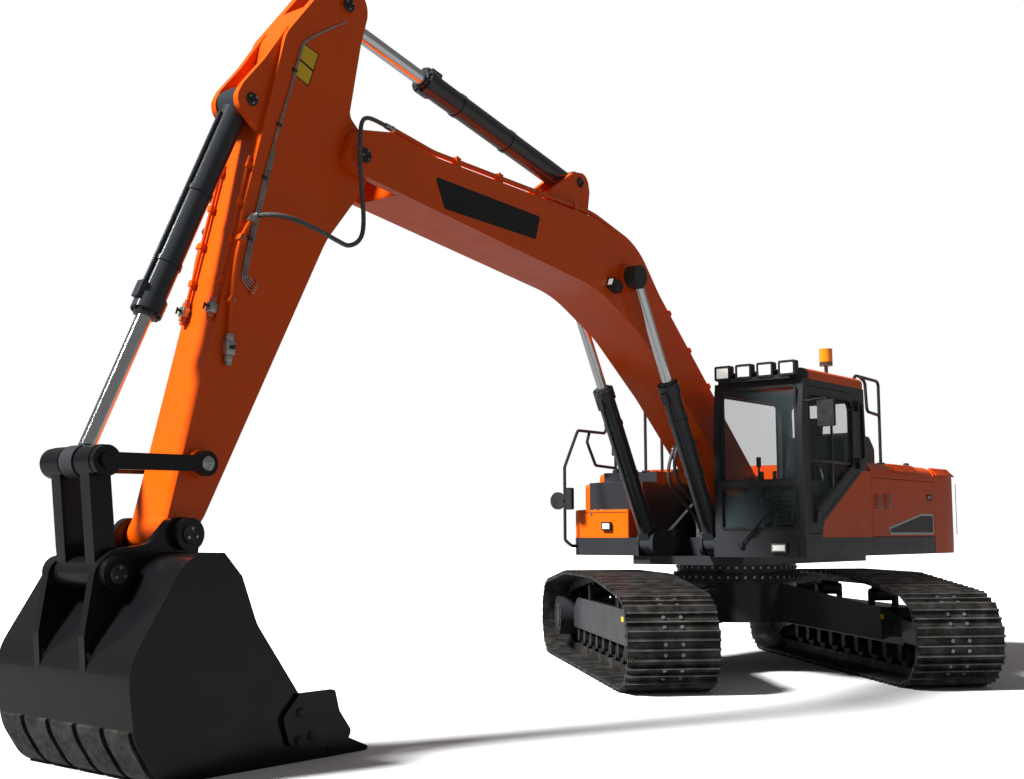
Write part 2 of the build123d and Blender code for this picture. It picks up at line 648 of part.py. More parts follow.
# =====================================================================================================
# Cab
# =====================================================================================================
cab_inner_y = CAB_INNER
cab_mid = CAB_SIDE - CAB_WIDTH / 2
DOOR_REAR_EDGE = 60.0
DOOR_FRONT_EDGE = 1190.0
CAB_ROWS = [  # along, up, corner radius
    (CAB_REAR, DECK, 0), (CAB_FRONT, DECK, 0), (CAB_FRONT + 10, CAB_EAVES - 430, 600), (CAB_FRONT - 40, CAB_EAVES, 0),
    (CAB_REAR + 60, CAB_EAVES, 0),
]
CAB_INNER_ROWS = [
    (CAB_REAR + CAB_WALL, DECK + CAB_WALL, 0), (CAB_FRONT - CAB_WALL, DECK + CAB_WALL, 0),
    (CAB_FRONT - CAB_WALL + 10, CAB_EAVES - 430, 600), (CAB_FRONT - CAB_WALL - 40, CAB_EAVES + 1, 0),
    (CAB_REAR + CAB_WALL + 60, CAB_EAVES + 1, 0),
]


def door_rows(play):
    """Outline of the cab door, or of its opening with so much play."""
    return [
        (940 - play, DECK + 40 - play, 30), (DOOR_FRONT_EDGE + play, DECK + 40 - play, 40),
        (DOOR_FRONT_EDGE + play, CAB_EAVES - 70 + play, 60), (DOOR_REAR_EDGE - play, CAB_EAVES - 70 + play, 120),
        (DOOR_REAR_EDGE - play, 2055 - play, 60), (915 - play, 1580 - play, 60),
    ]


knuckle_x = DOOR_REAR_EDGE - DOOR_PLAY / 2
knuckle_y = CAB_SIDE + KNUCKLE_OUT


def knuckle(z, leaf_way, low, high, radius=KNUCKLE_RADIUS):
    """Hinge knuckle with its leaf along the wall, from low to high above z; leaf_way is -1 back or 1 ahead."""
    with Locations((SLEW_X + knuckle_x, knuckle_y, z + (low + high) / 2)):
        Cylinder(radius, high - low)
    with Locations((SLEW_X + knuckle_x + leaf_way * LEAF[0] / 2, CAB_SIDE + LEAF[1] / 2, z + (low + high) / 2)):
        Box(LEAF[0], LEAF[1], high - low)


DOOR_WINDOW_ROWS = [
    (1010, 1530, 40), (DOOR_FRONT_EDGE - 70, 1530, 60), (DOOR_FRONT_EDGE - 70, CAB_EAVES - 140, 60),
    (DOOR_REAR_EDGE + 90, CAB_EAVES - 140, 120), (DOOR_REAR_EDGE + 90, 2130, 80), (980, 1660, 60),
]
FRONT_UPPER = (CAB_EAVES - 70, SILL + 20)
FRONT_LOWER = (SILL - 30, DECK + 85)
SIDE_WINDOW_ROWS = [(-60, 1800, 60), (1150, 1800, 60), (1150, CAB_EAVES - 110, 60), (-60, CAB_EAVES - 110, 60)]
REAR_WINDOW = (2080.0, CAB_EAVES - 130)
REAR_CORNER = 60.0
QUARTER_ROWS = [(-16, 2150, 40), (-16, CAB_EAVES - 140, 50), (-96, CAB_EAVES - 140, 50), (-128, 2230, 50)]
glass_half = CAB_WIDTH / 2 - POST

with BuildPart() as cab_frame:
    with BuildSketch(side((0, 0), cab_mid)):
        with BuildLine():
            outline(CAB_ROWS)
        make_face()
    extrude(amount=CAB_WIDTH / 2, both=True)
    fillet(cab_frame.edges().filter_by(Axis.Z, tolerance=8).group_by(Axis.X)[0], radius=REAR_CORNER)
    with BuildSketch(side((0, 0), cab_mid)):
        with BuildLine():
            outline(CAB_INNER_ROWS)
        make_face()
    extrude(amount=CAB_WIDTH / 2 - CAB_WALL, both=True, mode=Mode.SUBTRACT)
    with BuildSketch(side((0, 0), CAB_SIDE)):
        with BuildLine():
            outline(door_rows(DOOR_PLAY))
        make_face()
    extrude(amount=CAB_WALL, mode=Mode.SUBTRACT)
    with BuildSketch(side((0, 0), CAB_SIDE)):
        with BuildLine():
            outline(PANEL_ROWS)
        make_face()
        with BuildLine():
            outline(QUARTER_ROWS)
        make_face()
    extrude(amount=PANEL, mode=Mode.SUBTRACT)
    with BuildSketch(side((0, 0), cab_inner_y + CAB_WALL)):
        with BuildLine():
            outline(SIDE_WINDOW_ROWS)
        make_face()
    extrude(amount=CAB_WALL, mode=Mode.SUBTRACT)
    with BuildSketch(across(CAB_FRONT - 200)):
        for top, bottom in (FRONT_UPPER, FRONT_LOWER):
            with Locations((cab_mid, (top + bottom) / 2)):
                RectangleRounded(2 * glass_half, top - bottom, 40)
    extrude(amount=300, mode=Mode.SUBTRACT)
    with BuildSketch(across(CAB_REAR + 200)):
        with Locations((cab_mid, sum(REAR_WINDOW) / 2)):
            RectangleRounded(2 * glass_half - 100, REAR_WINDOW[1] - REAR_WINDOW[0], 60)
    extrude(amount=-300, mode=Mode.SUBTRACT)
    for z in HINGE_HEIGHTS:
        knuckle(z, -1, -KNUCKLE_HEIGHT, 0)
        with Locations((SLEW_X + knuckle_x, knuckle_y, z + KNUCKLE_HEIGHT / 2)):
            Cylinder(HINGE_PIN, KNUCKLE_HEIGHT)
save("cab_frame", cab_frame.part)

with BuildPart() as cab_roof:
    with BuildSketch(plan(CAB_EAVES)):
        with Locations(((ROOF_FRONT + CAB_REAR + 60) / 2, cab_mid)):
            RectangleRounded(ROOF_FRONT - CAB_REAR - 60, CAB_WIDTH, 90)
    extrude(amount=ROOF_TOP - CAB_EAVES)
    fillet(cab_roof.faces().sort_by(Axis.Z)[-1].edges(), radius=60)
save("cab_roof", cab_roof.part)

# Window panes, each filling its opening.
with BuildPart() as cab_glass:
    with BuildSketch(across(CAB_FRONT - CAB_WALL / 2)):
        for top, bottom in (FRONT_UPPER, FRONT_LOWER):
            with Locations((cab_mid, (top + bottom) / 2)):
                RectangleRounded(2 * glass_half, top - bottom, 40)
    extrude(amount=PANE)
    with BuildSketch(side((0, 0), cab_inner_y + CAB_WALL / 2)):
        with BuildLine():
            outline(SIDE_WINDOW_ROWS)
        make_face()
    extrude(amount=PANE)
    with BuildSketch(side((0, 0), CAB_SIDE - CAB_WALL / 2)):
        with BuildLine():
            outline(QUARTER_ROWS)
        make_face()
    extrude(amount=PANE)
    with BuildSketch(across(CAB_REAR + 95)):
        with Locations((cab_mid, sum(REAR_WINDOW) / 2)):
            RectangleRounded(2 * glass_half - 100, REAR_WINDOW[1] - REAR_WINDOW[0], 60)
    extrude(amount=PANE)
save("cab_glass", cab_glass.part)

with BuildPart() as cab_door:
    with BuildSketch(side((0, 0), CAB_SIDE)):
        with BuildLine():
            outline(door_rows(0))
        make_face()
        with BuildLine():
            outline(DOOR_WINDOW_ROWS)
        make_face(mode=Mode.SUBTRACT)
    extrude(amount=CAB_WALL)
    for z in HINGE_HEIGHTS:
        knuckle(z, 1, SEAT, KNUCKLE_HEIGHT)
        with Locations((SLEW_X + knuckle_x, knuckle_y, z + KNUCKLE_HEIGHT / 2)):
            Cylinder(HINGE_PIN + RUN, KNUCKLE_HEIGHT, mode=Mode.SUBTRACT)
save("cab_door", cab_door.part)

with BuildPart() as door_glass:
    with BuildSketch(side((0, 0), CAB_SIDE - CAB_WALL / 2)):
        with BuildLine():
            outline(DOOR_WINDOW_ROWS)
        make_face()
    extrude(amount=PANE)
save("door_glass", door_glass.part)

# Operator's chair: base, cushion, back and headrest, standing on the floor.
floor_z = DECK + CAB_WALL
with BuildPart() as operator_chair:
    with BuildSketch(plan(floor_z)):
        with Locations((420, cab_mid)):
            Rectangle(420, 380)
    extrude(amount=330)
    with BuildSketch(side((0, 0), cab_mid)):
        with BuildLine():
            outline([
                (140, floor_z + 300, 60), (700, floor_z + 330, 60), (700, floor_z + 450, 50),
                (320, floor_z + 440, 60), (170, floor_z + 1010, 60), (30, floor_z + 990, 60),
            ])
        make_face()
    extrude(amount=260, both=True)
    with BuildSketch(side((0, 0), cab_mid)):
        with BuildLine():
            outline([
                (40, floor_z + 960, 0), (170, floor_z + 980, 0), (120, floor_z + 1190, 50),
                (10, floor_z + 1180, 50),
            ])
        make_face()
    extrude(amount=130, both=True)
save("operator_chair", operator_chair.part)

# Lamp bar: four lamps on a rail along the front of the roof.
with BuildPart() as roof_lamps:
    with BuildSketch(across(ROOF_FRONT)):
        with Locations((cab_mid, CAB_EAVES + 20)):
            Rectangle(CAB_WIDTH - 220, 40)
        with Locations(*[(cab_mid + (k - 1.5) * LAMP_PITCH, ROOF_TOP - 10) for k in range(4)]):
            RectangleRounded(180, 150, 20)
    extrude(amount=70)
save("roof_lamps", roof_lamps.part)

with BuildPart() as beacon:
    with BuildSketch(plan(ROOF_TOP)):
        with Locations((CAB_REAR + 260, cab_mid + 150)):
            Circle(20)
    extrude(amount=150)
    with BuildSketch(plan(ROOF_TOP + 150)):
        with Locations((CAB_REAR + 260, cab_mid + 150)):
            Circle(68)
    extrude(amount=180)
save("beacon", beacon.part)

# =====================================================================================================
# Handrails, mirrors and the driver's controls
# =====================================================================================================
RAIL = 17.0
MIRROR_ARM = 9.0
panel_top = TANK_TOP - 12
RAIL_TABLE = [  # bend, points (along, across, up)
    (50, [(1042.6, -1400, 1310), (1120, -1400, 1310), (1173, -1450, 1375), (1173, -1450, 2174),
          (923, -1450, 2596), (401, -1450, 2594), (300, -1450, 2790), (190, -1450, 2790),
          (190, -1450, panel_top)]),
    (50, [(700, -1450, 2594), (750, -1450, 2476), (588, -1450, 2216), (190, -1450, 2200)]),
    (80, [(450, -860, TANK_TOP), (450, -860, 2890), (115, -860, 2890), (115, -860, TANK_TOP)]),
    (60, [(-290, 1300, HOOD_TOP), (-290, 1300, 3110), (-905, 1300, 3095), (-905, 1300, HOOD_TOP)]),
    (60, [(-430, 1300, 3106), (-560, 1300, 3060), (-592, 1300, 2745), (-905, 1300, 2722)]),
]
with BuildPart() as handrails:
    for bend, points in RAIL_TABLE:
        with BuildLine() as path:
            FilletPolyline(*[(SLEW_X + x, y, z) for x, y, z in points], radius=bend)
        with BuildSketch(Plane(origin=path.line @ 0, z_dir=path.line % 0)):
            Circle(RAIL)
        sweep(path=path.line)
save("handrails", handrails.part)

# Mirrors: one on an arm from the cab's front corner, the others clamped to the right rail.
MIRROR_ROUTE = [
    (1235, CAB_SIDE, 2705), (1235, CAB_SIDE + 70, 2705), (1320, CAB_SIDE + 170, 2705),
    (1320, CAB_SIDE + 275, 2705), (1320, CAB_SIDE + 275, 2630),
]
SHELL_TABLE = [  # centre (along, across, up), size
    ((1320, CAB_SIDE + 275, 2565), (50, 165, 250)),
    ((1173, -1384, 1826), (50, 84, 240)),
    ((236, -1400, 2440), (50, 110, 200)),
]
COLLAR_TABLE = [(1173, -1450, 1826), (190, -1450, 2440)]
with BuildPart() as mirrors:
    with BuildLine() as path:
        FilletPolyline(*[(SLEW_X + x, y, z) for x, y, z in MIRROR_ROUTE], radius=22)
    with BuildSketch(Plane(origin=path.line @ 0, z_dir=path.line % 0)):
        Circle(MIRROR_ARM)
    sweep(path=path.line)
    for (x, y, z), size in SHELL_TABLE:
        with Locations((SLEW_X + x, y, z)):
            Box(*size)
    fillet(mirrors.edges().filter_by(Axis.X).filter_by(lambda e: abs(e.length - 50) < 1), radius=18)
    with Locations((SLEW_X + 1173, -1500, 1812)):
        Box(14, 80, 14)
    with Locations(Location((SLEW_X + 1173, -1545, 1805), (0, 90, 55))):
        Cylinder(95, 30)
    for x, y, z in COLLAR_TABLE:
        with Locations((SLEW_X + x, y, z)):
            Cylinder(RAIL + 13, 50)
            Cylinder(RAIL + SEAT, 300, mode=Mode.SUBTRACT)
save("mirrors", mirrors.part)

# Consoles beside the chair with their levers, the travel levers, and the monitor on its post.
CONSOLE_HALF = 55.0
CHAIR_HALF = 260.0
CONTROL_TABLE = [  # along, across from the chair, foot, top, radius
    (1060, -70, floor_z, floor_z + 480, 10), (1060, 70, floor_z, floor_z + 480, 10),
    (1060, -70, floor_z + 480, floor_z + 590, 19), (1060, 70, floor_z + 480, floor_z + 590, 19),
    (1090, 265, floor_z, floor_z + 300, 14),
]
with BuildPart() as cab_console:
    for left in (-1, 1):
        y = cab_mid + left * (CHAIR_HALF + CONSOLE_HALF)
        with BuildSketch(side((0, 0), y)):
            with BuildLine():
                outline([
                    (210, floor_z + 330, 30), (730, floor_z + 340, 60), (730, floor_z + 500, 60),
                    (210, floor_z + 520, 60),
                ])
            make_face()
        extrude(amount=CONSOLE_HALF, both=True)
        with Locations((SLEW_X + 670, y, floor_z + 580)):
            Cylinder(11, 180)
        with Locations((SLEW_X + 670, y, floor_z + 710)):
            Cylinder(24, 100)
    for x, y, foot, top, radius in CONTROL_TABLE:
        with Locations((SLEW_X + x, cab_mid + y, (foot + top) / 2)):
            Cylinder(radius, top - foot)
    with Locations((SLEW_X + 1090, cab_mid + 265, floor_z + 365)):
        Box(40, 170, 140)
save("cab_console", cab_console.part)

# =====================================================================================================
# Front: boom, arm, bucket and their links
# =====================================================================================================
def eye(plane, radius, half_width):
    """Round boss or eye, across the given fore-and-aft plane."""
    with Locations(plane):
        Cylinder(radius, 2 * half_width)


def bore(plane, radius, half_width):
    """Hole across the given fore-and-aft plane."""
    with Locations(plane):
        Cylinder(radius, 2 * half_width, mode=Mode.SUBTRACT)


BOOM_ROWS = [  # along, up, corner radius
    (-215, 60, 120), (-120, -200, 150), (190, -190, 150), (1711, 330, 900), (2600, 560, 1400),
    (3350, 610, 1400), (BOOM_LENGTH + 70, -168, 100), (BOOM_LENGTH + 152, -110, 100),
    (BOOM_LENGTH + 152, 140, 90), (BOOM_LENGTH - 194, 360, 200), (BOOM_LENGTH - 690, 470, 700), (3620, 1215, 900), (2900, 1310, 700), (2400, 1060, 900), (60, 205, 150),
]
FORK_ROOT = BOOM_LENGTH - 460
bracket_half = 156.0
with BuildPart() as boom:
    with BuildSketch(side(BOOM_FOOT, 0, BOOM_PITCH)):
        with BuildLine():
            outline(BOOM_ROWS)
        make_face()
    extrude(amount=BOOM_WIDTH / 2, both=True)
    with BuildSketch(side(BOOM_FOOT, 0, BOOM_PITCH)):
        with Locations((FORK_ROOT + 600, 0)):
            Rectangle(1200, 1400)
    extrude(amount=BOOM_FORK_GAP / 2, both=True, mode=Mode.SUBTRACT)
    eye(side(BOOM_FOOT), 205, BOOM_WIDTH / 2)
    bore(side(BOOM_FOOT), PIN + 15 + RUN, BOOM_WIDTH)
    eye(side(BOOM_ROD_EYE), EYE + 20, eye_inner - 1)
    for left in (-1, 1):
        eye(side(NOSE, left * (BOOM_WIDTH / 2 + 2)), 96, 6)
    eye(side(NOSE), PIN + 10, BOOM_WIDTH / 2 + 22)
    for left in (-1, 1):
        with BuildSketch(side(BOOM_FOOT, left * (bracket_half - 25), BOOM_PITCH)):
            with BuildLine():
                outline([
                    (3560, 1050, 0), (4260, 900, 0), (4180, 1180, 60), (3940, 1540, 110), (3760, 1640, 110),
                    (3660, 1500, 80),
                ])
            make_face()
        extrude(amount=25, both=True)
    eye(side(ARM_FOOT_EYE), PIN, bracket_half)
save("boom", boom.part)


def on_boom(point, y):
    """Point of the boom's own frame, (along, up) at y, in the machine's frame."""
    along, up = added(BOOM_FOOT, turned(point, BOOM_PITCH))
    return (SLEW_X + along, y, up)


def on_arm(point, y):
    """Point of the arm's own frame, (along, up) at y, in the machine's frame."""
    along, up = added(NOSE, turned(point, ARM_PITCH))
    return (SLEW_X + along, y, up)


def on_run(foot, pitch, start, end, share, rise, y):
    """Plane on a straight run of an outline, share of the way along it and raised by rise."""
    lean = degrees(atan2(end[1] - start[1], end[0] - start[0]))
    spot = added(start, ((end[0] - start[0]) * share, (end[1] - start[1]) * share))
    spot = added(spot, turned((0, rise), lean))
    return side(added(foot, turned(spot, pitch)), y, pitch + lean)


# Steel pipes along the boom's back, to each side of the arm cylinder, in clamps.
PIPE = 22.0
PIPE_RISE = 52.0            # centre of a pipe above the boom's back
PIPE_Y = 216.0
BACK_FRONT = ((3620, 1215), (BOOM_LENGTH - 690, 470))
BACK_REAR = ((60, 205), (2400, 1060))
PIPE_ROWS = [  # along, up, bend
    (BOOM_LENGTH - 230, 422, 0), (BOOM_LENGTH - 676, 523, 750), (3625, 1272, 950), (2888, 1367, 750),
    (2378, 1112, 950), (900, 567, 0),
]
CLAMP = (56.0, 64.0)        # along and across
CLAMP_TABLE = [(BACK_FRONT, (0.12, 0.37, 0.62, 0.87)), (BACK_REAR, (0.5, 0.7, 0.9))]
with BuildPart() as boom_pipes:
    for left in (-1, 1):
        with BuildLine() as path:
            FilletPolyline(*[on_boom(row[:2], left * PIPE_Y) for row in PIPE_ROWS],
                           radius=[row[2] for row in PIPE_ROWS[1:-1]])
        with BuildSketch(Plane(origin=path.line @ 0, z_dir=path.line % 0)):
            Circle(PIPE)
        sweep(path=path.line)
        for (start, end), shares in CLAMP_TABLE:
            for share in shares:
                height = PIPE_RISE + PIPE + 8
                with Locations(on_run(BOOM_FOOT, BOOM_PITCH, start, end, share, height / 2, left * PIPE_Y)):
                    Box(CLAMP[0], height, CLAMP[1])
save("boom_pipes", boom_pipes.part)

with BuildPart() as boom_lamp:
    with BuildSketch(side(added(BOOM_FOOT, turned((3161, 744), BOOM_PITCH)), BOOM_WIDTH / 2, BOOM_PITCH)):
        RectangleRounded(150, 92, 14)
    extrude(amount=-78)
save("boom_lamp", boom_lamp.part)

bucket_ear_inner = 100.0
ARM_ROWS = [
    (-1190, 520, 170), (-1130, 845, 190), (-342, 978, 300), (ARM_LENGTH - 65, 115, 60),
    (ARM_LENGTH + 102, 102, 100), (ARM_LENGTH + 102, -102, 100), (ARM_LENGTH - 207, -132, 60),
    (740, -75, 700), (160, -180, 150), (-160, -165, 160), (-235, 210, 80), (-821, 396, 400), (-1045, 445, 150),
]
arm_pocket = BOOM_FORK_GAP / 2
with BuildPart() as arm:
    with BuildSketch(side(NOSE, 0, ARM_PITCH)):
        with BuildLine():
            outline(ARM_ROWS)
        make_face()
    extrude(amount=ARM_WIDTH / 2, both=True)
    with BuildSketch(side(NOSE, 0, ARM_PITCH)):
        with Locations((ARM_ROD_PIN[0] - 40, ARM_ROD_PIN[1] - 140)):
            Rectangle(620, 1000)
    extrude(amount=EYE, both=True, mode=Mode.SUBTRACT)
    eye(side(NOSE), 175, ARM_WIDTH / 2 + 6)
    bore(side(NOSE), PIN + 10 + RUN, ARM_WIDTH)
    eye(side(TIP), 103, ARM_WIDTH / 2 + 25)
    bore(side(TIP), PIN + RUN, ARM_WIDTH)
    eye(side(SIDE_LINK_EYE), 95, ARM_WIDTH / 2 + 60)
    bore(side(SIDE_LINK_EYE), PIN + RUN, ARM_WIDTH)
    for left in (-1, 1):
        with BuildSketch(side(NOSE, left * (bucket_ear_inner + 25), ARM_PITCH)):
            with BuildLine():
                outline([
                    (-430, 900, 0), (-430, 972, 0), (-60, 1010, 300), (225, 1064, 60), (392, 1062, 112),
                    (430, 740, 60), (300, 700, 0),
                ])
            make_face()
        extrude(amount=25, both=True)
    eye(side(BUCKET_FOOT_EYE), PIN, 150)
    for left in (-1, 1):
        eye(side(ARM_ROD_EYE, left * (ARM_WIDTH / 2 + 8)), PIN + 14, 8)
save("arm", arm.part)

# Steel pipes along the arm's front, to each side of the bucket cylinder, each ending in a stop valve.
ARM_PIPE = 13.0
ARM_PIPE_RISE = 24.0
ARM_PIPE_Y = 150.0
ARM_FRONT = ((-342, 978), (ARM_LENGTH - 65, 115))
ARM_RUN = (0.28, 0.60)      # where the pipes start and end on the arm's front
VALVE = (26.0, 120.0)       # radius and length of a stop valve
arm_front_length = hypot(ARM_FRONT[1][0] - ARM_FRONT[0][0], ARM_FRONT[1][1] - ARM_FRONT[0][1])
with BuildPart() as arm_pipes:
    for left in (-1, 1):
        y = left * ARM_PIPE_Y
        middle = on_run(NOSE, ARM_PITCH, *ARM_FRONT, sum(ARM_RUN) / 2, ARM_PIPE_RISE, y)
        with Locations(Plane(origin=middle.origin, z_dir=middle.x_dir)):
            Cylinder(ARM_PIPE, arm_front_length * (ARM_RUN[1] - ARM_RUN[0]))
        for share in (0.30, 0.38, 0.46, 0.54):
            height = ARM_PIPE_RISE + ARM_PIPE + 6
            with Locations(on_run(NOSE, ARM_PITCH, *ARM_FRONT, share, height / 2, y)):
                Box(44, height, 40)
        end = on_run(NOSE, ARM_PITCH, *ARM_FRONT, ARM_RUN[1], ARM_PIPE_RISE + 3, y)
        with Locations(Plane(origin=end.origin, z_dir=end.x_dir)):
            Cylinder(VALVE[0], VALVE[1])
            Cylinder(VALVE[0] - 8, VALVE[1] + 60)
save("arm_pipes", arm_pipes.part)

# Hoses: at the nose from the arm's sides to the boom's pipes, and at the foot from the frame to the boom.
def hose_route(start, stretches, end, steps):
    """Corner points of a hose: a straight lead from start, smooth curves of four control points each, and
    a straight lead to end; each curve is cut into so many steps."""
    points = [start, stretches[0][0]]
    for a, b, c, d in stretches:
        for k in range(1, steps + 1):
            t = k / steps
            shares = ((1 - t) ** 3, 3 * t * (1 - t) ** 2, 3 * t * t * (1 - t), t ** 3)
            points.append(tuple(sum(w * p[i] for w, p in zip(shares, (a, b, c, d))) for i in range(3)))
    return points + [end]


def bends(points):
    """Radius at each corner of a route: as large as 0.9 of the shorter run beside it allows."""
    radii = []
    for before, here, after in zip(points, points[1:], points[2:]):
        came, goes = Vector(here) - Vector(before), Vector(after) - Vector(here)
        turn = radians(came.get_angle(goes))
        radii.append(0.45 * min(came.length, goes.length) / tan(turn / 2))
    return radii


def ahead(point, way, reach):
    """The point that lies so far from another along a direction."""
    return tuple(p + reach * w for p, w in zip(point, way))


pipe_lean = radians(BOOM_PITCH) + atan2(PIPE_ROWS[0][1] - PIPE_ROWS[1][1], PIPE_ROWS[0][0] - PIPE_ROWS[1][0])
pipe_way = (cos(pipe_lean), 0, sin(pipe_lean))
foot_lean = radians(BOOM_PITCH) + atan2(520, 1521)
foot_way = (sin(foot_lean), 0, -cos(foot_lean))
FOOT_TABLE = [  # y, end along the boom
    (-120, 1060), (0, 1160), (120, 1100),
]
NOSE_LEAD = 150.0           # straight leads at the ends of the hoses
FOOT_LEAD = 100.0
HOSE_TABLE = []             # name, radius, steps to a curve, start, curves, end
for name, left in (("nose_hose_left", 1), ("nose_hose_right", -1)):
    start = on_arm((1040, 560), left * ARM_WIDTH / 2)
    end = on_boom(PIPE_ROWS[0][:2], left * PIPE_Y)
    leaves = ahead(start, (0, left, 0), NOSE_LEAD)
    enters = ahead(end, pipe_way, NOSE_LEAD)
    low = (SLEW_X + NOSE[0] + 257, left * 400, NOSE[1] - 760)
    beside = (SLEW_X + NOSE[0] + 96, left * 336, NOSE[1] - 87)
    HOSE_TABLE.append((name, 17.0, 4, start, [
        (leaves, ahead(leaves, (0, left, 0), 265), ahead(low, (1, 0, -0.16), 40), low),
        (low, ahead(low, (-1, 0, 0.16), 260), ahead(beside, (0, 0, -1), 299), beside),
        (beside, ahead(beside, (0, 0, 1), 346), ahead(enters, pipe_way, 246), enters),
    ], end))
for number, (y, along) in enumerate(FOOT_TABLE, 1):
    start = (SLEW_X + WELL_REAR - SKIRT / 2, y, DECK)
    end = on_boom((along, -190 + (along - 190) * 520 / 1521), y)
    leaves = ahead(start, (0, 0, 1), FOOT_LEAD)
    enters = ahead(end, foot_way, FOOT_LEAD)
    HOSE_TABLE.append((f"foot_hose_{number}", 18.0, 7, start, [
        (leaves, ahead(leaves, (0, 0, 1), 250), ahead(enters, foot_way, 600), enters),
    ], end))
for name, radius, steps, start, stretches, end in HOSE_TABLE:
    points = hose_route(start, stretches, end, steps)
    radii = bends(points)
    with BuildPart() as hose:
        with BuildLine() as path:
            FilletPolyline(*points, radius=radii)
        with BuildSketch(Plane(origin=path.line @ 0, z_dir=path.line % 0)):
            Circle(radius)
        sweep(path=path.line)
    length = path.wire().length
    print(name, "length", round(length, 2), "radii", [round(r) for r in radii],
          "volume share", round(hose.part.volume / (pi * radius ** 2 * length), 4))
    save(name, hose.part)

# Cylinders: barrel from its foot eye to its gland, and a rod that ends in its own eye.
CYLINDER_TABLE = [
    # body, sides, foot, rod eye, barrel length and radius, rod radius and length, half width of the foot's
    # eye, length of its neck, half width of the rod's eye
    ("boom_cylinder", (("_left", 1), ("_right", -1)), BOOM_CYLINDER_FOOT, BOOM_ROD_EYE,
     1750, 90, 50, 1800, BOOM_CYLINDER_EYE / 2, 150, BOOM_CYLINDER_EYE / 2),
    ("arm_cylinder", (("", 0),), ARM_FOOT_EYE, ARM_ROD_EYE, 2030, 100, 60, 2130, bracket_half - 50 - SIDE_PLAY, 60, 92),
    ("bucket_cylinder", (("", 0),), BUCKET_FOOT_EYE, LINK_EYE, 1750, 90, 52, 1700, bucket_ear_inner - SIDE_PLAY, 60, 72),
]
BORE_START = 150.0
GLAND = 110.0
BARREL_PIPE = 14.0
for (body, sides, foot, rod_eye, barrel_length, barrel_radius, rod_radius, rod_length, foot_half, neck,
     rod_eye_half) in CYLINDER_TABLE:
    run = (rod_eye[0] - foot[0], rod_eye[1] - foot[1])
    pitch = degrees(atan2(run[1], run[0]))
    distance = hypot(*run)
    for suffix, left in sides:
        y = left * BOOM_CYLINDER_Y
        along = side(foot, y, pitch)
        start = Plane(origin=along.origin, x_dir=along.z_dir, z_dir=along.x_dir)
        pipe_side = 1 if left else -1
        with BuildPart() as barrel:
            with BuildSketch(start):
                Rectangle(2 * foot_half, 2 * EYE - 50)
            extrude(amount=neck)
            with BuildSketch(start.offset(neck)):
                Circle(barrel_radius)
            extrude(amount=barrel_length - neck)
            with BuildSketch(start.offset(barrel_length - GLAND)):
                Circle(barrel_radius + 16)
            extrude(amount=GLAND)
            eye(along, EYE, foot_half)
            bore(along, PIN + RUN, 2 * foot_half)
            with BuildSketch(start.offset(BORE_START)):
                Circle(rod_radius + RUN)
            extrude(amount=barrel_length, mode=Mode.SUBTRACT)
            with BuildSketch(start.offset(neck + 90)):
                with Locations((0, pipe_side * (barrel_radius + BARREL_PIPE - 3))):
                    Circle(BARREL_PIPE)
            extrude(amount=barrel_length - GLAND - neck - 90)
            with BuildSketch(start.offset(barrel_length - 60)):
                with Locations((0, pipe_side * (barrel_radius + BARREL_PIPE))):
                    Rectangle(70, 2 * BARREL_PIPE + 20)
            extrude(amount=-120)
        save(body + "_barrel" + suffix, barrel.part)
        with BuildPart() as rod:
            with BuildSketch(start.offset(distance - rod_length)):
                Circle(rod_radius)
            extrude(amount=rod_length - 40)
            eye(side(rod_eye, y), EYE - 10, rod_eye_half - 2)
        save(body + "_rod" + suffix, rod.part)

# Side links from the arm to the top pin, outside everything else.
LINK_INNER = 256.0
LINK_THICK = 44.0
LINK_CAP = 30.0             # how far the top pin's ends stand out of the links
run = (LINK_EYE[0] - SIDE_LINK_EYE[0], LINK_EYE[1] - SIDE_LINK_EYE[1])
link_pitch_angle = degrees(atan2(run[1], run[0]))
H_EAR_INNER = 92.0
with BuildPart() as side_links:
    for left in (-1, 1):
        y = left * (LINK_INNER + LINK_THICK / 2)
        eye(side(SIDE_LINK_EYE, y), 82, LINK_THICK / 2)
        eye(side(LINK_EYE, y), 96, LINK_THICK / 2)
        with BuildSketch(side(SIDE_LINK_EYE, y, link_pitch_angle)):
            with Locations((hypot(*run) / 2, 0)):
                Rectangle(hypot(*run), 104)
        extrude(amount=LINK_THICK / 2, both=True)
        eye(side(LINK_EYE, left * (LINK_INNER + LINK_THICK)), PIN, LINK_CAP)
    eye(side(SIDE_LINK_EYE), PIN, LINK_INNER + LINK_THICK)
save("side_links", side_links.part)

# H-link: two legs from the top pin down to one tube between the bucket's ears.
EAR_INNER = ARM_WIDTH / 2 + 25 + SIDE_PLAY
run = (BUCKET_EYE[0] - LINK_EYE[0], BUCKET_EYE[1] - LINK_EYE[1])
with BuildPart() as h_link:
    for left in (-1, 1):
        y = left * (H_EAR_INNER + LINK_INNER - SIDE_PLAY) / 2
        half = (LINK_INNER - SIDE_PLAY - H_EAR_INNER) / 2
        eye(side(LINK_EYE, y), 100, half)
        with BuildSketch(side(LINK_EYE, left * 160, degrees(atan2(run[1], run[0])))):
            with Locations((hypot(*run) / 2, 0)):
                Rectangle(hypot(*run), 150)
        extrude(amount=50, both=True)
    eye(side(BUCKET_EYE), 100, EAR_INNER - SIDE_PLAY)
    bore(side(BUCKET_EYE), PIN + RUN, EAR_INNER)
save("h_link", h_link.part)

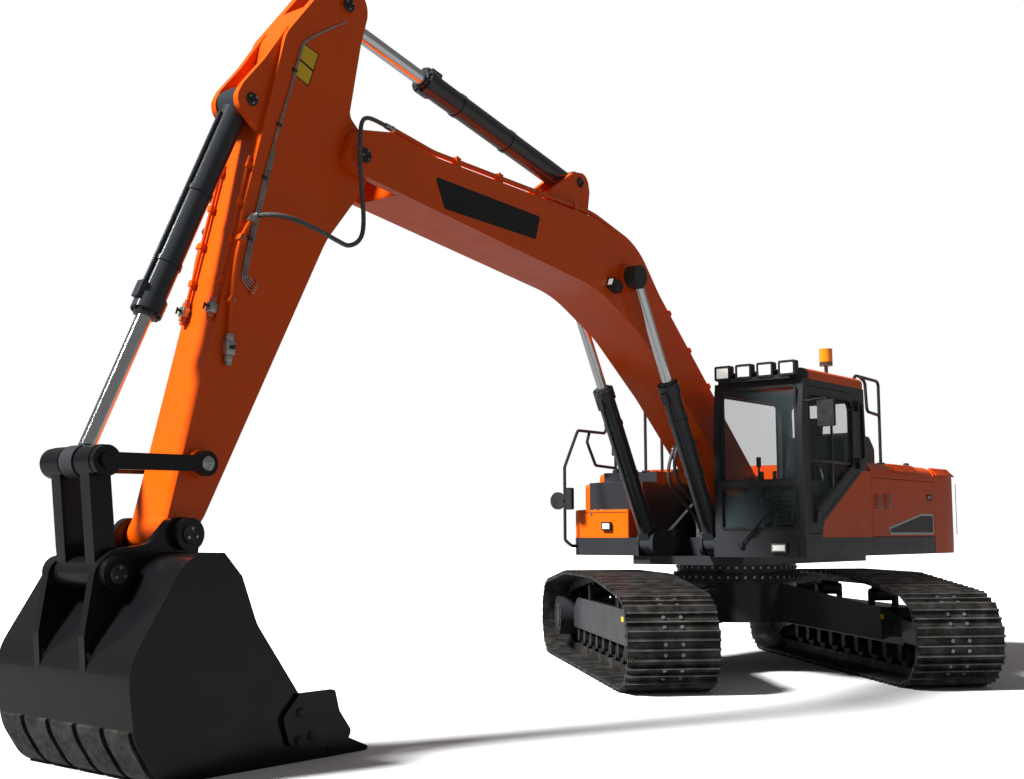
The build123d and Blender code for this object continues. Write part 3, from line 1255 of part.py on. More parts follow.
# Bucket: a rolled shell between two side plates, open to the machine, with its ears.
BUCKET_FLOOR = -(TIP[1])
BUCKET_ROWS = [
    (36, -112, 0), (293, -112, 260), (700, -760, 380), (640, -1180, 300), (470, BUCKET_FLOOR, 220),
    (-830, BUCKET_FLOOR, 0), (-800, -1300, 0), (-601, -1050, 0), (-226, -557, 300), (-103, -257, 0),
]
CAVITY_ROWS = [
    (-100, -112 - BUCKET_WALL, 0), (270, -112 - BUCKET_WALL, 220), (700 - BUCKET_WALL, -770, 345),
    (640 - BUCKET_WALL, -1170, 265), (450, BUCKET_FLOOR + BUCKET_WALL, 185),
    (-1200, BUCKET_FLOOR + BUCKET_WALL, 0), (-1200, -700, 0), (-500, -200, 0),
]
EAR_ROWS = [
    (-108, 108, 107), (-108, -150, 60), (250, -150, 100), (620, -850, 40), (680, -840, 20),
    (700, -600, 100), (640, -200, 110), (520, -90, 100), (260, -60, 160), (108, 108, 107),
]
EAR_THICK = 60.0
EAR_HOLE = (648.0, -712.0)  # lifting holes near the ears' rear tips
EAR_HOLE_RADIUS = 32.0
CUTTER = 30.0               # thickness of the side cutters
with BuildPart() as bucket:
    with BuildSketch(side(TIP)):
        with BuildLine():
            outline(BUCKET_ROWS)
        make_face()
    extrude(amount=BUCKET_WIDTH / 2, both=True)
    with BuildSketch(side(TIP)):
        with BuildLine():
            outline(CAVITY_ROWS)
        make_face()
    extrude(amount=BUCKET_WIDTH / 2 - BUCKET_WALL, both=True, mode=Mode.SUBTRACT)
    for left in (-1, 1):
        with BuildSketch(side(TIP, left * (EAR_INNER + EAR_THICK / 2))):
            with BuildLine():
                outline(EAR_ROWS)
            make_face()
        extrude(amount=EAR_THICK / 2, both=True)
        eye(side(TIP, left * (EAR_INNER + EAR_THICK / 2 + 30)), 105, EAR_THICK / 2 + 30)
        eye(side(BUCKET_EYE, left * (EAR_INNER + EAR_THICK / 2 + 30)), 105, EAR_THICK / 2 + 30)
        bore(side(added(TIP, EAR_HOLE), left * (EAR_INNER + EAR_THICK / 2)), EAR_HOLE_RADIUS, EAR_THICK)
        with BuildSketch(side(TIP, left * (BUCKET_WIDTH + CUTTER) / 2)):
            with BuildLine():
                outline([
                    (-560, -1010, 0), (-860, -1010, 30), (-900, -1150, 40), (-1010, -1290, 40), (-960, -1385, 30),
                    (-800, BUCKET_FLOOR + 70, 30), (-480, BUCKET_FLOOR + 110, 60), (-420, -1150, 60),
                ])
            make_face()
        extrude(amount=CUTTER / 2, both=True)
    eye(side(TIP), PIN, EAR_INNER + EAR_THICK)
    eye(side(BUCKET_EYE), PIN, EAR_INNER + EAR_THICK)
save("bucket", bucket.part)

TOOTH_COUNT = 5
TOOTH_WIDTH = 110.0
with BuildPart() as bucket_teeth:
    for k in range(TOOTH_COUNT):
        y = (k - (TOOTH_COUNT - 1) / 2) * (BUCKET_WIDTH - TOOTH_WIDTH) / (TOOTH_COUNT - 1)
        with BuildSketch(side(TIP, y)):
            with BuildLine():
                Polyline((-830, BUCKET_FLOOR), (-830, BUCKET_FLOOR + BUCKET_WALL), (-860, BUCKET_FLOOR + 130),
                         (-960, BUCKET_FLOOR + 125), (-1185, BUCKET_FLOOR + 30), (-1185, BUCKET_FLOOR + 8),
                         (-1150, BUCKET_FLOOR), close=True)
            make_face()
        extrude(amount=TOOTH_WIDTH / 2, both=True)
save("bucket_teeth", bucket_teeth.part)
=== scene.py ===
"""Looks of the crawler excavator: finishes, small hardware, trim and the studio it stands in.

Everything is in metres in the part's own frame: +X the way the boom points, +Y to its left, +Z up.
"""

import json
import logging
from collections.abc import Sequence
from dataclasses import dataclass, field
from enum import Enum
from math import acos, atan2, cos, degrees, hypot, pi, radians, sin, tan

import bmesh
import bpy
from mathutils import Matrix, Vector


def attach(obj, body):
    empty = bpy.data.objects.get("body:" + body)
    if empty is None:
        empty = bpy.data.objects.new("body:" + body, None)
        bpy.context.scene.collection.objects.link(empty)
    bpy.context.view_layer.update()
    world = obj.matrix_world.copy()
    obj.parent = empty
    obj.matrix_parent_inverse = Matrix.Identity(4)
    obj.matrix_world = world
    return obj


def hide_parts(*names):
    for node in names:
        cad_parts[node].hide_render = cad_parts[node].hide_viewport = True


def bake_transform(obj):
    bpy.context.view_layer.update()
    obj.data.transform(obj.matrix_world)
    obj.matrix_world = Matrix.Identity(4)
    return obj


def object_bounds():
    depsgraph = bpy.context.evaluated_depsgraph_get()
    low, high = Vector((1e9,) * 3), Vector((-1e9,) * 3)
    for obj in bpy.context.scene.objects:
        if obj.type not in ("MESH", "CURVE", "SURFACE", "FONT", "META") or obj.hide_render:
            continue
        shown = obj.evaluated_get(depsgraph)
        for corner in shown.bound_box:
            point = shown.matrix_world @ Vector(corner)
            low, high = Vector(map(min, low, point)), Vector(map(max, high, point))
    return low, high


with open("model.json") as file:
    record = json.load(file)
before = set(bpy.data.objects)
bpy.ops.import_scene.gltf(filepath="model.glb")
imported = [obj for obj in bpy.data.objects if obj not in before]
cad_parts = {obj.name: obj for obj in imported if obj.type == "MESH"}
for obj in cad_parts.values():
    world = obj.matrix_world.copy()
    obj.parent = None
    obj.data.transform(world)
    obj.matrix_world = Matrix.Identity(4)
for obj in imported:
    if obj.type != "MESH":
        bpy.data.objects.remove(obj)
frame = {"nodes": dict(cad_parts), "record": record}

CAD_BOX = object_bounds()
LOG = logging.getLogger("excavator")
Colour = tuple[float, float, float]
SIDES = (("left", 1), ("right", -1))
SIDE_DOORS = (("left", "engine_door_leaf", 1), ("right", "pump_door_leaf", -1))


# =====================================================================================================
# Finishes
# =====================================================================================================
class Shader:
    """A material's node graph, built one node at a time."""

    def __init__(self, name: str) -> None:
        """Start an empty graph.

        Args:
            name: The material's name.
        """
        self.material = bpy.data.materials.new(name)
        self.material.use_nodes = True
        self.tree = self.material.node_tree
        self.tree.nodes.clear()
        self.output = self.tree.nodes.new("ShaderNodeOutputMaterial")
        self.place = self.add("ShaderNodeTexCoord").outputs["Object"]

    def add(self, kind: str, inputs: dict | None = None, **settings: object) -> bpy.types.Node:
        """Add a node.

        Args:
            kind: Blender's name of the node type.
            inputs: Values or sockets by input name or index.
            settings: The node's own settings.

        Returns:
            The new node.
        """
        node = self.tree.nodes.new(kind)
        for key, value in settings.items():
            setattr(node, key, value)
        for key, value in (inputs or {}).items():
            if isinstance(value, bpy.types.NodeSocket):
                self.tree.links.new(value, node.inputs[key])
            else:
                node.inputs[key].default_value = value
        return node

    def noise(self, scale: float, detail: float = 4.0, stretch: Colour = (1, 1, 1)) -> bpy.types.NodeSocket:
        """Noise that follows the object.

        Args:
            scale: Repeats per metre.
            detail: Number of octaves.
            stretch: Scale of the coordinates along each axis.

        Returns:
            The noise value, from 0 to 1.
        """
        mapped = self.add("ShaderNodeMapping", {"Vector": self.place, "Scale": stretch})
        made = self.add("ShaderNodeTexNoise", {"Vector": mapped.outputs[0], "Scale": scale, "Detail": detail})
        return made.outputs["Fac"]

    def span(self, value: bpy.types.NodeSocket, low: float, high: float, to_low: float = 0.0,
             to_high: float = 1.0) -> bpy.types.NodeSocket:
        """Map a value from one range to another, held at the ends.

        Args:
            value: The value to map.
            low: Value that becomes to_low.
            high: Value that becomes to_high.
            to_low: Result at the low end.
            to_high: Result at the high end.

        Returns:
            The mapped value.
        """
        inputs = {"Value": value, "From Min": low, "From Max": high, "To Min": to_low, "To Max": to_high}
        return self.add("ShaderNodeMapRange", inputs).outputs[0]

    def mix(self, factor: bpy.types.NodeSocket, first: object, second: object) -> bpy.types.NodeSocket:
        """Blend two colours.

        Args:
            factor: Share of the second colour.
            first: Colour or socket at 0.
            second: Colour or socket at 1.

        Returns:
            The blended colour.
        """
        node = self.add("ShaderNodeMix", data_type="RGBA")
        for index, value in ((0, factor), (6, first), (7, second)):
            if isinstance(value, bpy.types.NodeSocket):
                self.tree.links.new(value, node.inputs[index])
            else:
                node.inputs[index].default_value = (*value, 1.0)
        return node.outputs[2]

    def product(self, first: object, second: object) -> bpy.types.NodeSocket:
        """Multiply two values.

        Args:
            first: Number or socket.
            second: Number or socket.

        Returns:
            The product.
        """
        return self.add("ShaderNodeMath", {0: first, 1: second}, operation="MULTIPLY").outputs[0]

    def upward(self) -> bpy.types.NodeSocket:
        """Weigh how far the surface faces up.

        Returns:
            A value from 0 to 1.
        """
        normal = self.add("ShaderNodeNewGeometry").outputs["Normal"]
        height = self.add("ShaderNodeSeparateXYZ", {0: normal}).outputs["Z"]
        return self.span(height, 0.2, 0.95)

    def low_down(self, bottom: float, top: float) -> bpy.types.NodeSocket:
        """Weigh how low the surface lies.

        Args:
            bottom: Height at and below which the weight is 1.
            top: Height at and above which it is 0.

        Returns:
            The weight.
        """
        height = self.add("ShaderNodeSeparateXYZ", {0: self.place}).outputs["Z"]
        return self.span(height, bottom, top, 1.0, 0.0)

    def bump(self, height: bpy.types.NodeSocket, strength: float, distance: float) -> bpy.types.NodeSocket:
        """Normal that shows a small relief.

        Args:
            height: The relief.
            strength: How strongly it shows.
            distance: Its depth in metres.

        Returns:
            The normal.
        """
        inputs = {"Height": height, "Strength": strength, "Distance": distance}
        return self.add("ShaderNodeBump", inputs).outputs[0]

    def finish(self, inputs: dict) -> bpy.types.Material:
        """Close the graph with its surface shader.

        Args:
            inputs: The surface shader's inputs.

        Returns:
            The finished material.
        """
        surface = self.add("ShaderNodeBsdfPrincipled", inputs)
        self.tree.links.new(surface.outputs[0], self.output.inputs["Surface"])
        return self.material


@dataclass(frozen=True)
class Paint:
    """Sprayed paint on steel, with a little dust on what faces up."""

    name: str
    colour: Colour
    shade: Colour
    gloss: float = 0.3
    coat: float = 0.5
    dust: float = 0.012
    dust_colour: Colour = (0.42, 0.36, 0.30)
    band: Colour | None = None      # second colour, ahead of band_start
    band_start: float = 0.0

    def build(self) -> bpy.types.Material:
        """Build the material."""
        shader = Shader(self.name)
        cloudy = shader.span(shader.noise(1.3, 3), 0.35, 0.7)
        tone = shader.mix(shader.product(cloudy, 0.35), self.colour, self.shade)
        streak = shader.span(shader.noise(9, 5, (1, 1, 0.12)), 0.58, 0.8, 0.0, 0.18)
        tone = shader.mix(streak, tone, self.shade)
        if self.band:
            along = shader.add("ShaderNodeSeparateXYZ", {0: shader.place}).outputs["X"]
            tone = shader.mix(shader.span(along, self.band_start, self.band_start + 0.004), tone, self.band)
        specks = shader.span(shader.noise(60, 6), 0.45, 0.75)
        dusty = shader.product(shader.product(shader.upward(), specks), self.dust)
        tone = shader.mix(dusty, tone, self.dust_colour)
        rough = shader.span(shader.noise(5, 6), 0.3, 0.75, self.gloss, self.gloss + 0.16)
        peel = shader.bump(shader.noise(260, 2), 0.05, 0.0006)
        return shader.finish({
            "Base Color": tone, "Roughness": rough, "Normal": peel, "Coat Weight": self.coat,
            "Coat Roughness": 0.12, "Specular IOR Level": 0.30,
        })


@dataclass(frozen=True)
class Steel:
    """Bare or blackened steel, rubbed brighter in patches."""

    name: str
    colour: Colour
    worn: Colour
    rough: float = 0.42
    metal: float = 0.7
    grain: float = 0.35

    def build(self) -> bpy.types.Material:
        """Build the material."""
        shader = Shader(self.name)
        patches = shader.span(shader.noise(7, 8), 0.42, 0.68)
        tone = shader.mix(patches, self.colour, self.worn)
        soil = shader.product(shader.span(shader.noise(22, 5), 0.5, 0.72), 0.5)
        tone = shader.mix(soil, tone, (0.10, 0.08, 0.06))
        rough = shader.span(shader.noise(30, 4), 0.3, 0.7, self.rough - 0.1, self.rough + 0.2)
        relief = shader.bump(shader.noise(120, 5), self.grain, 0.0012)
        return shader.finish({"Base Color": tone, "Roughness": rough, "Normal": relief,
                              "Metallic": self.metal})


@dataclass(frozen=True)
class Chrome:
    """Ground and plated rod whose eye is painted dark."""

    name: str
    eye: Colour
    reach: float = 0.118
    colour: Colour = (0.80, 0.81, 0.82)
    paint: Colour = (0.030, 0.031, 0.034)

    def build(self) -> bpy.types.Material:
        """Build the material."""
        shader = Shader(self.name)
        flat = shader.add("ShaderNodeVectorMath", {0: shader.place, 1: (1, 0, 1)},
                          operation="MULTIPLY").outputs[0]
        centre = (self.eye[0], 0.0, self.eye[2])
        away = shader.add("ShaderNodeVectorMath", {0: flat, 1: centre}, operation="DISTANCE").outputs["Value"]
        plated = shader.span(away, self.reach, self.reach + 0.003)
        haze = shader.span(shader.noise(14, 5), 0.3, 0.7, 0.10, 0.22)
        rough = shader.span(plated, 0.0, 1.0, 0.36, 0.0)
        total = shader.add("ShaderNodeMath", {0: haze, 1: rough}, operation="ADD").outputs[0]
        rings = shader.bump(shader.noise(900, 1), 0.04, 0.0002)
        return shader.finish({"Base Color": shader.mix(plated, self.paint, self.colour), "Roughness": total,
                              "Normal": rings, "Metallic": plated})


@dataclass(frozen=True)
class Moulded:
    """Moulded plastic or rubber with a fine grain."""

    name: str
    colour: Colour
    rough: float = 0.55
    grain: float = 0.15
    grain_scale: float = 420.0

    def build(self) -> bpy.types.Material:
        """Build the material."""
        shader = Shader(self.name)
        lighter = tuple(min(1.0, part * 1.7 + 0.01) for part in self.colour)
        tone = shader.mix(shader.span(shader.noise(11, 5), 0.4, 0.75, 0, 0.6), self.colour, lighter)
        rough = shader.span(shader.noise(24, 4), 0.3, 0.7, self.rough - 0.08, self.rough + 0.12)
        relief = shader.bump(shader.noise(self.grain_scale, 3), self.grain, 0.0005)
        return shader.finish({"Base Color": tone, "Roughness": rough, "Normal": relief})


@dataclass(frozen=True)
class Glazing:
    """Lightly tinted window glass with a trace of dust."""

    name: str
    colour: Colour = (0.10, 0.14, 0.15)
    solid: float = 0.16

    def build(self) -> bpy.types.Material:
        """Build the material."""
        shader = Shader(self.name)
        film = shader.span(shader.noise(6, 6), 0.4, 0.8, 0.02, 0.08)
        return shader.finish({
            "Base Color": (*self.colour, 1), "Roughness": film, "IOR": 1.45, "Alpha": self.solid,
        })


@dataclass(frozen=True)
class Cloth:
    """Woven upholstery."""

    name: str
    colour: Colour
    thread: float = 700.0

    def build(self) -> bpy.types.Material:
        """Build the material."""
        shader = Shader(self.name)
        waves = [
            shader.add("ShaderNodeTexWave", {"Vector": shader.place, "Scale": self.thread / 6},
                       bands_direction=axis).outputs["Fac"]
            for axis in ("X", "Z")
        ]
        weave = shader.product(*waves)
        lighter = tuple(part * 2.2 for part in self.colour)
        tone = shader.mix(weave, self.colour, lighter)
        return shader.finish({
            "Base Color": tone, "Roughness": 0.9, "Normal": shader.bump(weave, 0.4, 0.0008),
            "Sheen Weight": 0.2,
        })


@dataclass(frozen=True)
class Lens:
    """Clear or coloured lamp cover over a bright reflector, on a dark stem below a height."""

    name: str
    colour: Colour
    glow: float = 0.0
    stem: float = -1.0

    def build(self) -> bpy.types.Material:
        """Build the material."""
        shader = Shader(self.name)
        flutes = shader.add("ShaderNodeTexWave", {"Vector": shader.place, "Scale": 28.0},
                            bands_direction="Z").outputs["Fac"]
        deep = tuple(part * 0.55 for part in self.colour)
        dark = shader.low_down(self.stem, self.stem + 0.004)
        tone = shader.mix(dark, shader.mix(flutes, deep, self.colour), (0.03, 0.03, 0.03))
        return shader.finish({
            "Base Color": tone, "Roughness": 0.12, "Normal": shader.bump(flutes, 0.35, 0.001),
            "Coat Weight": 1.0, "Emission Color": (*self.colour, 1), "Emission Strength": self.glow,
        })


@dataclass(frozen=True)
class Braid:
    """Hose sleeve with a pale woven fleck."""

    name: str
    colour: Colour = (0.030, 0.030, 0.032)
    fleck: Colour = (0.20, 0.20, 0.21)

    def build(self) -> bpy.types.Material:
        """Build the material."""
        shader = Shader(self.name)
        weave = shader.add("ShaderNodeTexVoronoi",
                           {"Vector": shader.place, "Scale": 210.0}).outputs["Distance"]
        flecks = shader.span(weave, 0.45, 0.70, 0.0, 0.75)
        return shader.finish({
            "Base Color": shader.mix(flecks, self.colour, self.fleck), "Roughness": 0.42,
            "Normal": shader.bump(weave, 0.5, 0.0015),
        })


class Finish(Enum):
    """Every finish on the machine."""

    ORANGE = Paint("orange_paint", (0.76, 0.088, 0.002), (0.62, 0.058, 0.002), gloss=0.30, coat=0.12)
    # painted light: a lighter, yellower copy of the body orange, giving the front-facing tool box the look of
    # sunlit paint
    SUNLIT_ORANGE = Paint("sunlit_orange_paint", (0.80, 0.120, 0.002), (0.66, 0.085, 0.002),
                          gloss=0.30, coat=0.12)
    ROOF = Paint("roof_paint", (0.76, 0.088, 0.002), (0.62, 0.058, 0.002), gloss=0.30, coat=0.12,
                 band=(0.030, 0.031, 0.034), band_start=-1.26)
    CHARCOAL = Paint("charcoal_paint", (0.026, 0.028, 0.031), (0.016, 0.017, 0.019), gloss=0.32, coat=0.35,
                     dust=0.02)
    CYLINDER = Paint("cylinder_paint", (0.030, 0.033, 0.038), (0.020, 0.022, 0.026), gloss=0.26, coat=0.5,
                     dust=0.015)
    BLACK = Paint("black_paint", (0.005, 0.005, 0.006), (0.003, 0.003, 0.004),
                  gloss=0.24, coat=0.30, dust=0.004)
    YELLOW = Paint("sign_yellow", (0.80, 0.52, 0.02), (0.66, 0.40, 0.02), gloss=0.30, coat=0.3, dust=0.05)
    SILVER = Paint("silver_edge", (0.62, 0.62, 0.62), (0.45, 0.45, 0.46), gloss=0.28, coat=0.4, dust=0.03)
    TRACK = Steel("track_steel", (0.040, 0.038, 0.036), (0.13, 0.125, 0.12))
    WORN_STEEL = Steel("worn_steel", (0.26, 0.25, 0.24), (0.48, 0.47, 0.46),
                       rough=0.34, metal=0.85, grain=0.25)
    DARK_STEEL = Steel("dark_steel", (0.025, 0.025, 0.025), (0.065, 0.062, 0.06), metal=0.5)
    BRIGHT_STEEL = Steel("bright_steel", (0.45, 0.45, 0.45), (0.62, 0.62, 0.61),
                         rough=0.30, metal=0.9, grain=0.1)
    GRIT = Steel("tread_grit", (0.022, 0.022, 0.022), (0.05, 0.05, 0.05), rough=0.75, metal=0.1, grain=0.9)
    MIRROR = Steel("mirror_glass", (0.72, 0.74, 0.76), (0.76, 0.78, 0.80), rough=0.14, metal=1.0, grain=0.02)
    GLASS = Glazing("window_glass")
    CLOTH = Cloth("chair_cloth", (0.030, 0.030, 0.034))
    PLASTIC = Moulded("lamp_plastic", (0.018, 0.018, 0.019))
    RUBBER = Moulded("hose_rubber", (0.014, 0.014, 0.015), rough=0.5, grain=0.3, grain_scale=900)
    BRAID = Braid("hose_sleeve")
    BEACON = Lens("amber_lens", (0.95, 0.30, 0.01), glow=0.06, stem=3.23)
    CLEAR_LENS = Lens("clear_lens", (0.95, 0.95, 0.90), glow=0.45)

    def material(self) -> bpy.types.Material:
        """The finish's material, built once."""
        own = self.value.name + "_finish"
        if own not in bpy.data.materials:
            self.value.build().name = own
        return bpy.data.materials[own]


# =====================================================================================================
# Studio
# =====================================================================================================
@dataclass
class Studio:
    """Floor, lights and camera."""

    eye: Vector = field(default_factory=lambda: Vector((10.0575, 7.0668, 1.4336)))
    heading: float = 219.749        # way the camera looks, round from +X
    pitch: float = 6.067            # above level
    roll: float = -0.149
    focal: float = 44.91
    shift: tuple[float, float] = (0.0062, 0.0093)
    floor_half: float = 120.0
    floor_seen: Colour = (0.90, 0.90, 0.90)     # the floor's tone to the camera
    floor_cast: Colour = (0.16, 0.16, 0.16)     # and to the machine, whose shaded sides a pale one washes out
    surround: float = 0.15
    sun: Vector = field(default_factory=lambda: Vector((0.612, -0.354, 0.707)))

    def build(self) -> None:
        """Make the whole studio."""
        self.make_camera()
        self.make_floor()
        self.make_lights()
        LOG.info("studio ready")

    def make_camera(self) -> None:
        """Place the scene's camera."""
        yaw, pitch, roll = (radians(angle) for angle in (self.heading, self.pitch, self.roll))
        ahead = Vector((cos(pitch) * cos(yaw), cos(pitch) * sin(yaw), sin(pitch)))
        right = Vector((sin(yaw), -cos(yaw), 0))
        up = right.cross(ahead)
        right, up = right * cos(roll) + up * sin(roll), up * cos(roll) - right * sin(roll)
        camera = bpy.data.objects.new("camera", bpy.data.cameras.new("camera"))
        turn = Matrix((right, up, -ahead)).transposed().to_4x4()
        camera.matrix_world = Matrix.Translation(self.eye) @ turn
        camera.data.lens = self.focal
        camera.data.shift_x, camera.data.shift_y = self.shift
        camera.data.clip_end = 500.0
        bpy.context.collection.objects.link(camera)
        bpy.context.scene.camera = camera

    def make_floor(self) -> None:
        """Lay the floor, pale to the camera and dull to the machine."""
        mesh = bpy.data.meshes.new("studio_floor")
        shape = bmesh.new()
        bmesh.ops.create_grid(shape, x_segments=8, y_segments=8, size=self.floor_half)
        shape.to_mesh(mesh)
        shape.free()
        floor = bpy.data.objects.new("studio_floor", mesh)
        bpy.context.collection.objects.link(floor)
        shader = Shader("floor")
        seen = shader.add("ShaderNodeLightPath").outputs["Is Camera Ray"]
        tone = shader.mix(seen, self.floor_cast, self.floor_seen)
        look = {"Base Color": tone, "Roughness": 0.75, "Specular IOR Level": 0.1}
        mesh.materials.append(shader.finish(look))

    def make_lights(self) -> None:
        """Hang one sun in two parts, only the weaker shown in gloss, inside a plain white surround."""
        world = bpy.data.worlds.new("studio")
        world.use_nodes = True
        nodes, links = world.node_tree.nodes, world.node_tree.links
        backdrop = nodes["Background"]
        backdrop.inputs["Color"].default_value = (1.0, 1.0, 1.0, 1)
        seen = nodes.new("ShaderNodeLightPath").outputs["Is Camera Ray"]
        level = nodes.new("ShaderNodeMapRange")
        level.inputs["To Min"].default_value, level.inputs["To Max"].default_value = self.surround, 1.0
        links.new(seen, level.inputs["Value"])
        links.new(level.outputs[0], backdrop.inputs["Strength"])
        bpy.context.scene.world = world
        bpy.context.scene.view_settings.view_transform = "Standard"
        rows = [  # name, strength, spread in degrees, shown in the paint's gloss
            ("key_light", 10.0, 12.0, False),
            ("glint_light", 0.6, 8.0, True),
        ]
        for name, strength, spread, glossy in rows:
            light = bpy.data.lights.new(name, "SUN")
            light.energy, light.angle = strength, radians(spread)
            lamp = bpy.data.objects.new(name, light)
            lamp.location = self.sun * 20
            lamp.rotation_euler = self.sun.to_track_quat("Z", "Y").to_euler()
            lamp.visible_glossy = glossy
            bpy.context.collection.objects.link(lamp)


# =====================================================================================================
# Frames, and the shop's basic shapes
# =====================================================================================================
RECORD = frame["record"]
JOINTS = {row["name"]: row for row in RECORD["behaviour"]["joints"]}


def pin(joint: str) -> Vector:
    """Find a joint's pin.

    Args:
        joint: The joint's name.

    Returns:
        The pin, in the machine's frame.
    """
    return Vector(JOINTS[joint]["pos_m"])


def at(x: float, y: float, z: float, roll: float = 0.0, pitch: float = 0.0, yaw: float = 0.0) -> Matrix:
    """Place in a frame.

    Args:
        x: Along.
        y: To the left.
        z: Up.
        roll: Turn round x, in degrees.
        pitch: Turn round y, in degrees.
        yaw: Turn round z, in degrees.

    Returns:
        The placing matrix.
    """
    turn = Matrix.Rotation(radians(yaw), 4, "Z") @ Matrix.Rotation(radians(pitch), 4, "Y")
    return Matrix.Translation((x, y, z)) @ turn @ Matrix.Rotation(radians(roll), 4, "X")


def pitched(origin: Vector, target: Vector) -> Matrix:
    """Frame at a pin whose x points at another pin, with y to the machine's left.

    Args:
        origin: The frame's pin.
        target: The pin that it points at.

    Returns:
        The frame.
    """
    run = target - origin
    return Matrix.Translation(origin) @ Matrix.Rotation(-atan2(run.z, run.x), 4, "Y")


BOOM_FOOT, NOSE, TIP = (pin(name) for name in ("boom_lift", "arm_swing", "bucket_curl"))
SLEW_X = pin("house_swing").x
TRACK_HEADING = 47.0
HOUSE = Matrix.Translation((SLEW_X, 0, 0))
UNDER = HOUSE @ Matrix.Rotation(radians(TRACK_HEADING), 4, "Z")
BOOM = pitched(Vector((BOOM_FOOT.x, 0, BOOM_FOOT.z)), NOSE)
ARM = pitched(NOSE, TIP)
BUCKET = Matrix.Translation(TIP)


def slope(start: Sequence[float], end: Sequence[float]) -> float:
    """Pitch that lays a shape's x along a run.

    Args:
        start: Start of the run as (along, up).
        end: Its end.

    Returns:
        The pitch in degrees.
    """
    return -degrees(atan2(end[1] - start[1], end[0] - start[0]))


def ring(middle: Matrix, radius: float, angles: Sequence[float]) -> list[Matrix]:
    """Places on a circle round the upright axis of a frame.

    Args:
        middle: The frame.
        radius: The circle's radius.
        angles: Angles of the places, in radians.

    Returns:
        The places.
    """
    return [middle @ at(radius * cos(angle), radius * sin(angle), 0) for angle in angles]


def soften(shape: bmesh.types.BMesh, edges: Sequence[bmesh.types.BMEdge], width: float,
           segments: int = 2) -> None:
    """Round off edges of a shape.

    Args:
        shape: The shape.
        edges: The edges.
        width: Width of the rounding, or 0 for none.
        segments: Facets of the rounding.
    """
    if width:
        bmesh.ops.bevel(shape, geom=edges, offset=width, offset_type="OFFSET", segments=segments, profile=0.5,
                        affect="EDGES", material=-1)


def block(size: Sequence[float], bevel: float = 0.0, segments: int = 2) -> bmesh.types.BMesh:
    """A box with rounded edges, about its middle.

    Args:
        size: Along, across and up.
        bevel: Width of the rounding.
        segments: Facets of the rounding.

    Returns:
        The shape.
    """
    shape = bmesh.new()
    bmesh.ops.create_cube(shape, size=1.0, matrix=Matrix.Diagonal((*size, 1)))
    soften(shape, shape.edges[:], bevel, segments)
    return shape


def drum(radius: float, depth: float, sides: int = 32, bevel: float = 0.0,
         top: float | None = None) -> bmesh.types.BMesh:
    """A round or many-sided disc, bar or cone about its middle, upright.

    Args:
        radius: Radius at the bottom.
        depth: Height.
        sides: Facets round it.
        bevel: Width of the rounding of its rims.
        top: Radius at the top, if it tapers.

    Returns:
        The shape.
    """
    shape = bmesh.new()
    bmesh.ops.create_cone(shape, cap_ends=True, segments=sides, radius1=radius,
                          radius2=radius if top is None else top, depth=depth)
    rims = [edge for edge in shape.edges if abs(edge.verts[0].co.z - edge.verts[1].co.z) < 1e-6]
    soften(shape, rims, bevel)
    return shape


def hexes(size: float, height: float) -> bmesh.types.BMesh:
    """A hexagon bolt head.

    Args:
        size: Radius to its corners.
        height: Height.

    Returns:
        The shape.
    """
    return drum(size, height, 6)


def turned(profile: Sequence[tuple[float, float]], sides: int = 32) -> bmesh.types.BMesh:
    """A turned ring or knob: an open profile of (radius, height), spun upright and closed.

    Args:
        profile: Points of the profile.
        sides: Facets round it.

    Returns:
        The shape.
    """
    shape = bmesh.new()
    verts = [shape.verts.new((radius, 0, height)) for radius, height in profile]
    edges = [shape.edges.new(pair) for pair in zip(verts, verts[1:] + verts[:1])]
    bmesh.ops.spin(shape, geom=verts + edges, cent=(0, 0, 0), axis=(0, 0, 1), angle=2 * pi, steps=sides,
                   use_merge=True)
    bmesh.ops.remove_doubles(shape, verts=shape.verts[:], dist=1e-6)
    bmesh.ops.recalc_face_normals(shape, faces=shape.faces[:])
    return shape


def plate(points: Sequence[tuple[float, float]], thickness: float) -> bmesh.types.BMesh:
    """A flat plate cut to an outline of (along, up), its inner face at y 0.

    Args:
        points: Corners of the outline.
        thickness: How far it stands out to the left.

    Returns:
        The shape.
    """
    shape = bmesh.new()
    near = [shape.verts.new((x, 0, z)) for x, z in points]
    far = [shape.verts.new((x, thickness, z)) for x, z in points]
    shape.faces.new(near)
    shape.faces.new(far)
    for k in range(len(points)):
        shape.faces.new((near[k - 1], near[k], far[k], far[k - 1]))
    bmesh.ops.recalc_face_normals(shape, faces=shape.faces[:])
    return shape


def surround(points: Sequence[tuple[float, float]], width: float, thickness: float) -> bmesh.types.BMesh:
    """A flat frame round an outline of (along, up), such as a window's seal.

    Args:
        points: Corners of its outer outline.
        width: Width of the frame, inwards.
        thickness: How far it stands out to the left.

    Returns:
        The shape.
    """
    shape = bmesh.new()
    face = shape.faces.new([shape.verts.new((x, 0, z)) for x, z in points])
    shape.normal_update()
    bmesh.ops.inset_region(shape, faces=[face], thickness=width, use_boundary=True, use_even_offset=True)
    bmesh.ops.delete(shape, geom=[face], context="FACES")
    bmesh.ops.solidify(shape, geom=shape.faces[:], thickness=thickness)
    low = min(vert.co.y for vert in shape.verts)
    bmesh.ops.translate(shape, verts=shape.verts[:], vec=(0, -low, 0))
    bmesh.ops.recalc_face_normals(shape, faces=shape.faces[:])
    return shape


